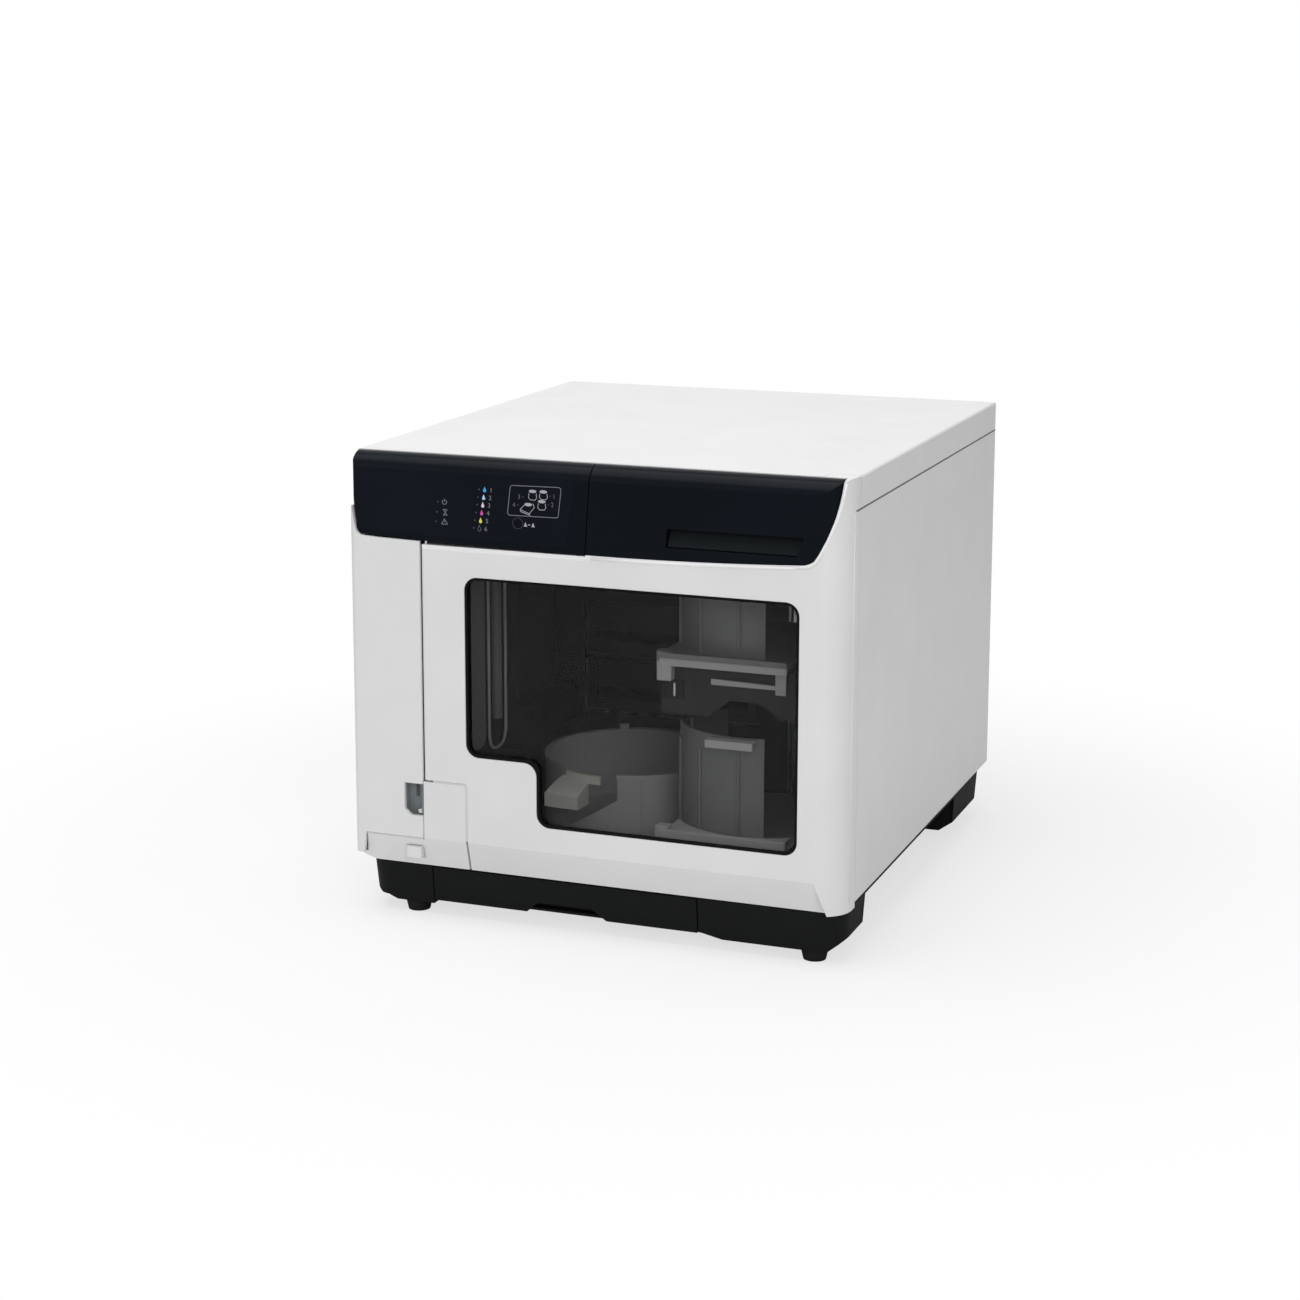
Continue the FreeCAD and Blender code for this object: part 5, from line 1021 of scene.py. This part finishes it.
@dataclass
class ControlPanel(SubAssembly):
    """Left part of the dark band with its printed film, lamps and marks."""

    title = "control panel"
    finishes = {"control_panel": Look.DARK_BAND, "clean_button": Look.DARK_BAND}

    face: float = -230.7
    film: float = 0.10
    film_root: float = -0.02
    film_round: float = 3.0
    ink: float = 0.14
    line: float = 0.4
    bold_line: float = 0.45
    digit: float = 3.2
    film_corners: Outline = ((-181.5, 290.5), (-18.6, 288.6), (-12.4, 336.4), (-184.3, 336.4))
    drops: tuple[InkMark, ...] = (
        InkMark((-80.9, 326.1), Look.CYAN, "1"),
        InkMark((-81.7, 320.5), Look.LIGHT_CYAN, "2"),
        InkMark((-82.5, 315.0), Look.LIGHT_MAGENTA, "3"),
        InkMark((-83.4, 309.3), Look.MAGENTA, "4"),
        InkMark((-84.3, 303.6), Look.YELLOW, "5"),
        InkMark((-85.3, 297.9), Look.DIM_PRINT, "6", True))
    drop_size: float = 1.95
    number_gap: float = 5.0
    lamp_gap: float = 4.4
    lamp_radius: float = 0.55
    state_lamps: Outline = ((-117.7, 315.2), (-118.5, 307.8), (-119.3, 300.8))
    power_mark: Point2 = (-112.4, 315.3)
    glass_mark: Point2 = (-112.0, 307.8)
    alert_mark: Point2 = (-112.6, 300.9)
    map_corners: Outline = ((-63.5, 309.0), (-24.5, 309.3), (-22.0, 331.2), (-60.9, 330.5))
    map_round: float = 2.2
    map_bins: tuple[Point3, ...] = ((-43.9, 327.2, 321.0), (-35.6, 327.3, 321.8),
                                    (-36.9, 320.3, 314.3))
    bin_disc: Point2 = (2.9, 1.15)
    map_drawer: Outline = ((-50.3, 317.0), (-53.6, 313.6), (-46.6, 311.0), (-42.6, 315.6),
                           (-43.6, 318.4))
    map_drawer_front: Outline = ((-53.6, 313.6), (-53.2, 312.2), (-46.2, 309.9), (-46.6, 311.0))
    map_drawer_disc: Point2 = (-47.3, 317.5)
    drawer_disc: Point2 = (3.0, 1.2)
    map_lamp_radius: float = 0.45
    map_numbers: tuple[tuple[str, float, float, float], ...] = (
        ("3", -54.3, 322.8, 3.0), ("4", -58.3, 316.8, 3.0),
        ("1", -27.6, 324.5, -3.0), ("2", -28.8, 318.5, -3.0))
    button: Point2 = (-55.5, 303.5)
    ring_outer: float = 4.1
    ring_inner: float = 3.75
    button_mark: Point2 = (-46.6, 303.0)

    def paper(self) -> Form:
        """Start a form on the film's printed face."""
        return before_face(self.face - self.film)

    def fit(self) -> None:
        """Lay the film and print its marks."""
        self.lay_film()
        self.print_drops()
        self.print_status()
        self.print_map()
        self.print_button()

    def lay_film(self) -> None:
        """Lay the clear film over the panel and its round membrane button."""
        film = before_face(self.face)
        film.prism(round_box(self.film_corners, self.film_round), self.film, self.film_root)
        self.keep("panel_film", film, Look.PANEL_FILM, bevel_mm=0.04)

    def drop(self, centre: Point2) -> list[Point2]:
        """Outline an ink drop with its point at the top.

        Args:
            centre: The drop's place.

        Returns:
            Its outline.
        """
        x, z = centre
        size = self.drop_size
        points = arc((x, z - 0.35 * size), 0.62 * size, 150, 390, 12)
        return points + [(x + 0.16 * size, z + 0.75 * size), (x, z + 1.15 * size),
                         (x - 0.16 * size, z + 0.75 * size)]

    def print_drops(self) -> None:
        """Print the six ink drops, their lamps and numbers."""
        numbers, lamps = self.paper(), self.paper()
        for mark in self.drops:
            drop = self.paper()
            if mark.hollow:
                drop.stroke(self.drop(mark.place), self.line, self.ink, closed=True)
            else:
                drop.prism(self.drop(mark.place), self.ink)
            self.keep(f"ink_drop_{mark.number}", drop, mark.finish)
            x, z = mark.place
            numbers.numeral(mark.number, (x + self.number_gap, z), self.digit, self.ink)
            lamps.prism(circle((x - self.lamp_gap, z), self.lamp_radius, 12), self.ink)
        self.keep("ink_numbers", numbers, Look.GREY_PRINT)
        self.keep("ink_lamps", lamps, Look.LAMP)

    def print_status(self) -> None:
        """Print the power ring, the hourglass and the alert triangle beside their lamps."""
        lamps, marks = self.paper(), self.paper()
        for place in self.state_lamps:
            lamps.prism(circle(place, self.lamp_radius, 12), self.ink)
        x, z = self.power_mark
        marks.stroke(arc((x, z), 1.7, 125, 415, 16), self.bold_line, self.ink)
        marks.stroke([(x, z + 0.4), (x, z + 2.4)], self.bold_line, self.ink)
        x, z = self.glass_mark
        for end in (z - 2.0, z + 2.0):
            marks.stroke([(x - 1.5, end), (x + 1.5, end), (x, z)], self.line, self.ink, True)
        x, z = self.alert_mark
        triangle = [(x - 2.3, z - 1.7), (x + 2.3, z - 1.7), (x, z + 2.1)]
        marks.stroke(triangle, self.line, self.ink, True)
        marks.stroke([(x, z - 0.3), (x, z + 0.9)], self.line, self.ink)
        self.keep("state_lamps", lamps, Look.LAMP)
        self.keep("state_marks", marks, Look.GREY_PRINT)

    def print_map(self) -> None:
        """Print the map of the four bins with their numbers and lamps."""
        lines, discs, lamps, numbers, frame = (self.paper() for _ in range(5))
        frame.stroke(round_box(self.map_corners, self.map_round), self.bold_line, self.ink, True)
        self.keep("bin_map_frame", frame, Look.GREY_PRINT)
        for x, z, low in self.map_bins:
            discs.prism(oval((x, z), *self.bin_disc), self.ink)
            body = [(x - 2.7, z - 1.4), (x - 3.1, low + 1.6), (x - 1.9, low), (x + 1.9, low),
                    (x + 3.1, low + 1.6), (x + 2.7, z - 1.4)]
            lines.stroke(body, self.line, self.ink)
        discs.prism(oval(self.map_drawer_disc, *self.drawer_disc), self.ink)
        lines.stroke(self.map_drawer, self.line, self.ink)
        lines.stroke(self.map_drawer_front, self.line, self.ink)
        for text, x, z, gap in self.map_numbers:
            numbers.numeral(text, (x, z), self.digit, self.ink)
            lamps.prism(circle((x + gap, z), self.map_lamp_radius, 12), self.ink)
        self.keep("bin_map_lines", lines, Look.PALE_PRINT)
        self.keep("bin_map_discs", discs, Look.PALE_PRINT)
        self.keep("bin_map_lamps", lamps, Look.LAMP)
        self.keep("bin_map_numbers", numbers, Look.DIM_PRINT)

    def print_button(self) -> None:
        """Print the ring of the round button and the mark beside it."""
        ring, mark = self.paper(), self.paper()
        outer, inner = (circle(self.button, radius, 32)
                        for radius in (self.ring_outer, self.ring_inner))
        ring.band(outer, inner, self.ink)
        self.keep("button_ring", ring, Look.FAINT_PRINT)
        x, z = self.button_mark
        for side in (x - 2.9, x + 2.9):
            mark.prism([(side - 1.3, z - 1.5), (side + 1.3, z - 1.5), (side, z + 1.7)], self.ink)
        mark.prism(plate((x, z), 0.9, 0.3), self.ink)
        self.keep("button_mark", mark, Look.PALE_PRINT)


@dataclass
class DiscCover(SubAssembly):
    """Hinged front cover: white frame, dark band with the finger grip, smoked pane and rim."""

    title = "disc cover"
    body = "disc_cover"
    finishes = {
        "disc_cover_frame": Look.WHITE_SHELL,
        "disc_cover_band": Look.DARK_BAND,
        "disc_cover_window": Look.PANE,
        "window_gasket": Look.GASKET,
    }

    front: float = -232.5
    corner_start: float = 166.5
    corner_radius: float = 22.0
    grip_left: float = 57.2
    grip_right: float = 152.0
    grip_low: float = 294.2
    grip_high: float = 306.2
    grip_near: float = -230.2
    grip_far: float = -224.2
    grip_floor: float = -221.9
    grip_flare: float = 3.6
    rim_path: Outline = (
        (0.5, 282.2), (40.0, 282.6), (76.0, 283.3), (115.0, 284.6), (150.0, 286.2),
        (156.0, 286.7), (161.2, 288.1), (165.1, 290.6), (169.1, 297.0), (173.5, 306.0),
        (177.0, 314.4), (179.8, 323.0), (181.5, 330.0), (182.6, 336.0), (184.0, 345.5))
    rim_radius: float = 1.15
    rim_inset: float = 0.55

    def fit(self) -> None:
        """Add the grip's slope and the band's rim."""
        self.fill_grip()
        self.edge_band()

    def fill_grip(self) -> None:
        """Lay the sloping face of the finger grip, deepest at its top."""
        slope = Form(Facing.RIGHT)
        low, high = self.grip_low, self.grip_high
        section = [(self.grip_near, low), (self.grip_far, high), (self.grip_floor, high),
                   (self.grip_floor, low)]
        slope.prism(section, self.grip_right, self.grip_left)
        middle = (self.grip_left + self.grip_right) / 2 * MM
        for vertex in slope.mesh.verts:
            if vertex.co.x > middle:
                rise = (vertex.co.z / MM - low) / (high - low)
                vertex.co.x += rise * self.grip_flare * MM
        self.keep("grip_slope", slope, Look.GRIP, bevel_mm=0.4)

    def rim_point(self, x: float, z: float) -> Vector:
        """Find a point of the rim, on the flat front or round its right corner.

        Args:
            x: Its place across.
            z: Its height.

        Returns:
            The point in millimetres.
        """
        across = max(0.0, x - self.corner_start)
        back = self.corner_radius - math.sqrt(self.corner_radius ** 2 - across ** 2)
        return Vector((x, self.front + self.rim_inset + back, z))

    def edge_band(self) -> None:
        """Run the rim along the lower and right edges of the dark band, in white painted lighter
        than the shell as its highlight.
        """
        rim = Form()
        rim.bead([self.rim_point(x, z) for x, z in self.rim_path], self.rim_radius)
        self.keep("band_rim", rim, Look.RIM_PAINTED_HIGHLIGHT, smooth=True)


@dataclass
class Chamber(SubAssembly):
    """Handling chamber: walls, bins, holder, rail, and the rod, edge bead and painted highlight of
    its channel.
    """

    title = "chamber"
    finishes = {
        "chamber_left_wall": Look.LEFT_LINER_PAINTED_LIGHT,
        "chamber_right_wall": Look.RIGHT_LINER_PAINTED_SHADE,
        "chamber_rear_wall": Look.CHAMBER,
        "stacker_1": Look.BIN,
        "stacker_2": Look.BIN,
        "stacker_3": Look.LOW_BIN,
        "stacker_3_tab": Look.TAB,
        "stacker_1_holder": Look.HOLDER,
        "stacker_rail": Look.DARK_PARTS,
        "channel_rod": Look.BIN,
    }

    channel_middle: Point2 = (-126.5, 204.4)
    channel_half: Point2 = (15.5, 97.2)
    channel_round: float = 15.0
    edge_bead_place: float = -118.9
    edge_bead_radius: float = 1.15
    highlight_place: float = -122.5
    highlight_patch: Box2 = (-166, 112, -142, 299)
    highlight_round: float = 10.0
    highlight_depth: float = 0.8
    nose_top: Outline = ((-92.0, 0.0), (-97.0, -3.0))
    nose_low: Outline = ((-116.0, 5.0), (-124.0, 1.6))
    nose_height: float = 1.6
    holder_front: float = -195.0
    number_plate: Box2 = (41.5, 176.6, 57.5, 190.6)
    plate_depth: float = 1.0
    number_place: Point2 = (50.4, 183.8)
    number_tall: float = 9.5
    number_depth: float = 0.2
    strip: Outline = ((78.0, 189.8), (126.5, 189.8), (126.5, 193.0), (78.0, 194.2))
    strip_depth: float = 1.6
    strip_end: Box2 = (126.5, 186.6, 134.5, 201.6)
    end_depth: float = 3.0
    upper_blocks: tuple[tuple[Point3, Point3], ...] = (
        ((39.6, -204.3, 191.5), (50.8, -196.0, 206.0)),
        ((41.8, -205.3, 202.8), (137.2, -201.2, 208.4)))
    lower_blocks: tuple[tuple[Point3, Point3], ...] = (
        ((76.0, -204.3, 145.4), (112.0, -195.5, 151.4)),
        ((41.8, -205.3, 68.8), (137.2, -201.2, 81.6)),
        ((38.6, -204.8, 68.8), (48.4, -195.2, 84.0)))
    bin_centre: Point2 = (98.0, -130.0)
    bin_reach: float = 65.9
    ledge_left: float = 44.0
    ledge_right: float = 135.0
    ledge_front: float = -201.4
    ledge_low: float = 78.4
    ledge_high: float = 79.8
    ledge_steps: int = 13

    def fit(self) -> None:
        """Add the trim of the channel, the rail, the holder and the bins."""
        self.trim_channel()
        self.lower_rail()
        self.mark_holder()
        self.finish_bins()

    def trim_channel(self) -> None:
        """Lay a bead round the channel's edge and a lighter plate on the wall before it, both
        painted light as the highlight there.
        """
        edge_bead, highlight_patch = Form(), Form(Facing.RIGHT, (self.highlight_place, 0, 0))
        outline = round_box(plate(self.channel_middle, *self.channel_half), self.channel_round, 8)
        # Light bead round the channel's edge: a real bead shape, whose light colour is a painted
        # highlight of that edge.
        edge_bead.bead([Vector((self.edge_bead_place, y, z)) for y, z in outline], self.edge_bead_radius, True)
        self.keep("channel_highlight_bead", edge_bead, Look.BIN_TRIM_AND_HIGHLIGHT, smooth=True)
        # Lighter plate on the left wall: a painted highlight where the wall's front part catches
        # the light.
        highlight_patch.prism(round_box(rectangle(*self.highlight_patch), self.highlight_round), self.highlight_depth)
        self.keep("channel_painted_highlight", highlight_patch, Look.BIN, bevel_mm=0.4)

    def lower_rail(self) -> None:
        """Replace the bins' rail by one whose nose is low before the channel."""
        shape = Form(Facing.RIGHT)
        low, high = in_mm(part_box("stacker_rail"))
        side = [(low.y, low.z), (high.y, low.z), (high.y, high.z)]
        side += [(y, high.z + drop) for y, drop in self.nose_top]
        side += [(y, low.z + rise) for y, rise in self.nose_low]
        side += [(low.y + 3.0, low.z + self.nose_height), (low.y, low.z + 1.0)]
        shape.prism(side, high.x, low.x)
        rail = self.keep("bin_rail", shape, Look.DARK_PARTS, bevel_mm=1.2)
        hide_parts("stacker_rail")

    def mark_holder(self) -> None:
        """Add the numbered plate, the pale strip and the end block of the upper bin's holder."""
        board, strip = before_face(self.holder_front), before_face(self.holder_front)
        number = before_face(self.holder_front - self.plate_depth)
        board.prism(round_box(rectangle(*self.number_plate), 1.0), self.plate_depth)
        self.keep("bin_1_plate", board, Look.CHAMBER, bevel_mm=0.3)
        number.numeral("1", self.number_place, self.number_tall, self.number_depth)
        self.keep("bin_1_number", number, Look.TAB)
        strip.prism(round_box(self.strip, 0.8), self.strip_depth)
        strip.prism(round_box(rectangle(*self.strip_end), 1.0), self.end_depth)
        self.keep("holder_strip", strip, Look.BIN_TRIM_AND_HIGHLIGHT, bevel_mm=0.4)

    def finish_bins(self) -> None:
        """Add the upper bin's rim with its leg, and the lower bin's lip, rim, leg and ledge,
        painted lighter than the bins as a highlight.
        """
        rim, lip = Form(Facing.UP), Form(Facing.UP)
        for low, high in self.upper_blocks:
            rim.block(low, high)
        self.keep("bin_1_rim", rim, Look.BIN_TRIM_AND_HIGHLIGHT, bevel_mm=1.0)
        for low, high in self.lower_blocks:
            lip.block(low, high)
        ledge = [(self.ledge_left, self.ledge_front), (self.ledge_right, self.ledge_front)]
        for step in range(self.ledge_steps + 1):
            x = self.ledge_right - (self.ledge_right - self.ledge_left) * step / self.ledge_steps
            across = x - self.bin_centre[0]
            ledge.append((x, self.bin_centre[1] - math.sqrt(self.bin_reach ** 2 - across ** 2)))
        lip.prism(ledge, self.ledge_high, self.ledge_low)
        self.keep("bin_2_lip", lip, Look.BIN_TRIM_AND_HIGHLIGHT, bevel_mm=1.2)


@dataclass
class PickArm(SubAssembly):
    """Arm, its carriage, rods, belt and motor."""

    title = "pick arm"
    finishes = {
        "arm_guide_rods": Look.ROD,
        "arm_bracket": Look.SHEET,
        "arm_belt": Look.BELT,
        "arm_pulley_lower": Look.PULLEY,
        "arm_pulley_upper": Look.PULLEY,
        "arm_carriage": Look.DARK_PARTS,
        "pick_arm": Look.ARM,
        "grip_plunger": Look.ROD,
        "grip_claws": Look.DARK_PARTS,
        "arm_motor": Look.MOTOR,
    }


@dataclass
class Drives(SubAssembly):
    """Disc drives, their cage and the print unit."""

    title = "drives"
    finishes = {
        "disc_drive_1": Look.DRIVE,
        "disc_drive_2": Look.DRIVE,
        "drive_tray_1": Look.DARK_PARTS,
        "drive_tray_2": Look.DARK_PARTS,
        "printer_tray": Look.TRAY,
        "drive_cage": Look.BIN,
        "printer_frame": Look.CHAMBER,
        "print_rails": Look.ROD,
        "print_carriage": Look.DARK_PARTS,
    }

    tray_gap: float = 0.8
    face_depth: float = 1.6
    button_inset: float = 14.0
    button_height: float = 5.5
    button_half: Point2 = (5.0, 1.6)
    button_round: float = 0.8
    button_depth: float = 1.9
    lamp_gap: float = 12.0
    lamp_radius: float = 0.9
    lamp_depth: float = 1.7

    def face_drive(self, number: int) -> None:
        """Stand the dark face with its release button and lamp before a drive.

        Args:
            number: The drive's number.
        """
        low, high = in_mm(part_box(f"disc_drive_{number}"))
        tray_low, tray_high = in_mm(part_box(f"drive_tray_{number}"))
        face, button = before_face(low.y), before_face(low.y)
        opening = rectangle(tray_low.x, tray_low.z, tray_high.x, tray_high.z, self.tray_gap)
        face.band(rectangle(low.x, low.z, high.x, high.z), opening, self.face_depth)
        self.keep(f"drive_face_{number}", face, Look.CHIP, bevel_mm=0.3)
        x, z = high.x - self.button_inset, low.z + self.button_height
        key = round_box(plate((x, z), *self.button_half), self.button_round)
        button.prism(key, self.button_depth)
        button.prism(circle((x - self.lamp_gap, z), self.lamp_radius, 12), self.lamp_depth)
        self.keep(f"drive_button_{number}", button, Look.DARK_PARTS, bevel_mm=0.2)

    def fit(self) -> None:
        """Give both drives their faces."""
        for number in (1, 2):
            self.face_drive(number)


@dataclass
class Services(SubAssembly):
    """Ink bay with its cartridges, power supply, main board and fan."""

    title = "services"
    finishes = {
        "ink_bay": Look.DARK_PARTS,
        "power_supply": Look.SHEET,
        "main_board": Look.BOARD,
        "fan_housing": Look.DARK_PARTS,
        "fan_rotor": Look.DARK_PARTS,
    }

    inks: tuple[Look, ...] = (Look.CYAN, Look.LIGHT_CYAN, Look.LIGHT_MAGENTA, Look.MAGENTA,
                              Look.YELLOW, Look.CHIP)
    patch: Box2 = (-16, -8, 4, 8)
    patch_round: float = 1.5
    patch_depth: float = 0.25
    number_shift: float = 11
    number_tall: float = 8.0
    number_depth: float = 0.2
    chips: tuple[Box2, ...] = (
        (70.0, 230.0, 34.0, 34.0), (110.0, 250.0, 14.0, 22.0), (110.0, 220.0, 14.0, 22.0),
        (60.0, 180.0, 20.0, 8.0), (90.0, 180.0, 12.0, 12.0), (112.0, 186.0, 8.0, 16.0))
    chip_depth: float = 2.2
    cans: int = 5
    first_can: Point2 = (-58.0, 296.0)
    can_step: float = 12.0
    can_radius: float = 4.0
    can_depth: float = 9.0
    pins: int = 16
    first_pin: float = -44.0
    pin_step: float = 3.0
    pin: Box2 = (-0.4, 140.0, 0.4, 150.0)
    pin_depth: float = 3.0

    def fit(self) -> None:
        """Label the cartridges and populate the board."""
        self.label_cartridges()
        self.populate_board()

    def label_cartridges(self) -> None:
        """Dress the cartridges and give each a colour patch and its number."""
        numbers = Form()
        for number, ink in enumerate(self.inks, start=1):
            node = f"ink_cartridge_{number}"
            self.dress(node, Look.CARTRIDGE)
            low, high = in_mm(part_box(node))
            x, z = (low.x + high.x) / 2, (low.z + high.z) / 2
            left, under, right, over = self.patch
            patch = before_face(low.y)
            numbers.origin = patch.origin
            corners = rectangle(x + left, z + under, x + right, z + over)
            patch.prism(round_box(corners, self.patch_round), self.patch_depth)
            self.keep(f"cartridge_patch_{number}", patch, ink)
            numbers.numeral(str(number), (x + self.number_shift, z), self.number_tall,
                            self.number_depth)
        self.keep("cartridge_numbers", numbers, Look.PALE_PRINT)

    def populate_board(self) -> None:
        """Solder chips, capacitors and a connector row on the main board."""
        face = in_mm(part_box("main_board"))[0].x
        chips, cans, pins = (Form(Facing.LEFT, (face, 0.0, 0.0)) for _ in range(3))
        for y, z, wide, tall in self.chips:
            chips.prism(plate((-y, z), wide / 2, tall / 2), self.chip_depth)
        for k in range(self.cans):
            y, z = self.first_can
            cans.prism(circle((y - self.can_step * k, z), self.can_radius, 20), self.can_depth)
        for k in range(self.pins):
            y = self.first_pin - self.pin_step * k
            left, under, right, over = self.pin
            pins.prism(rectangle(y + left, under, y + right, over), self.pin_depth)
        self.keep("board_chips", chips, Look.CHIP, bevel_mm=0.3)
        self.keep("board_capacitors", cans, Look.PULLEY, bevel_mm=0.4)
        self.keep("board_pins", pins, Look.CONTACTS)


def main() -> None:
    """Build the studio and each sub-assembly in order."""
    logging.basicConfig(level=logging.INFO, format="%(name)s: %(message)s")
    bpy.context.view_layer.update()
    Studio().build()
    for part in (Casing(), ControlPanel(), DiscCover(), Chamber(), PickArm(), Drives(), Services()):
        part.build()


if __name__ == "__main__":
    main()
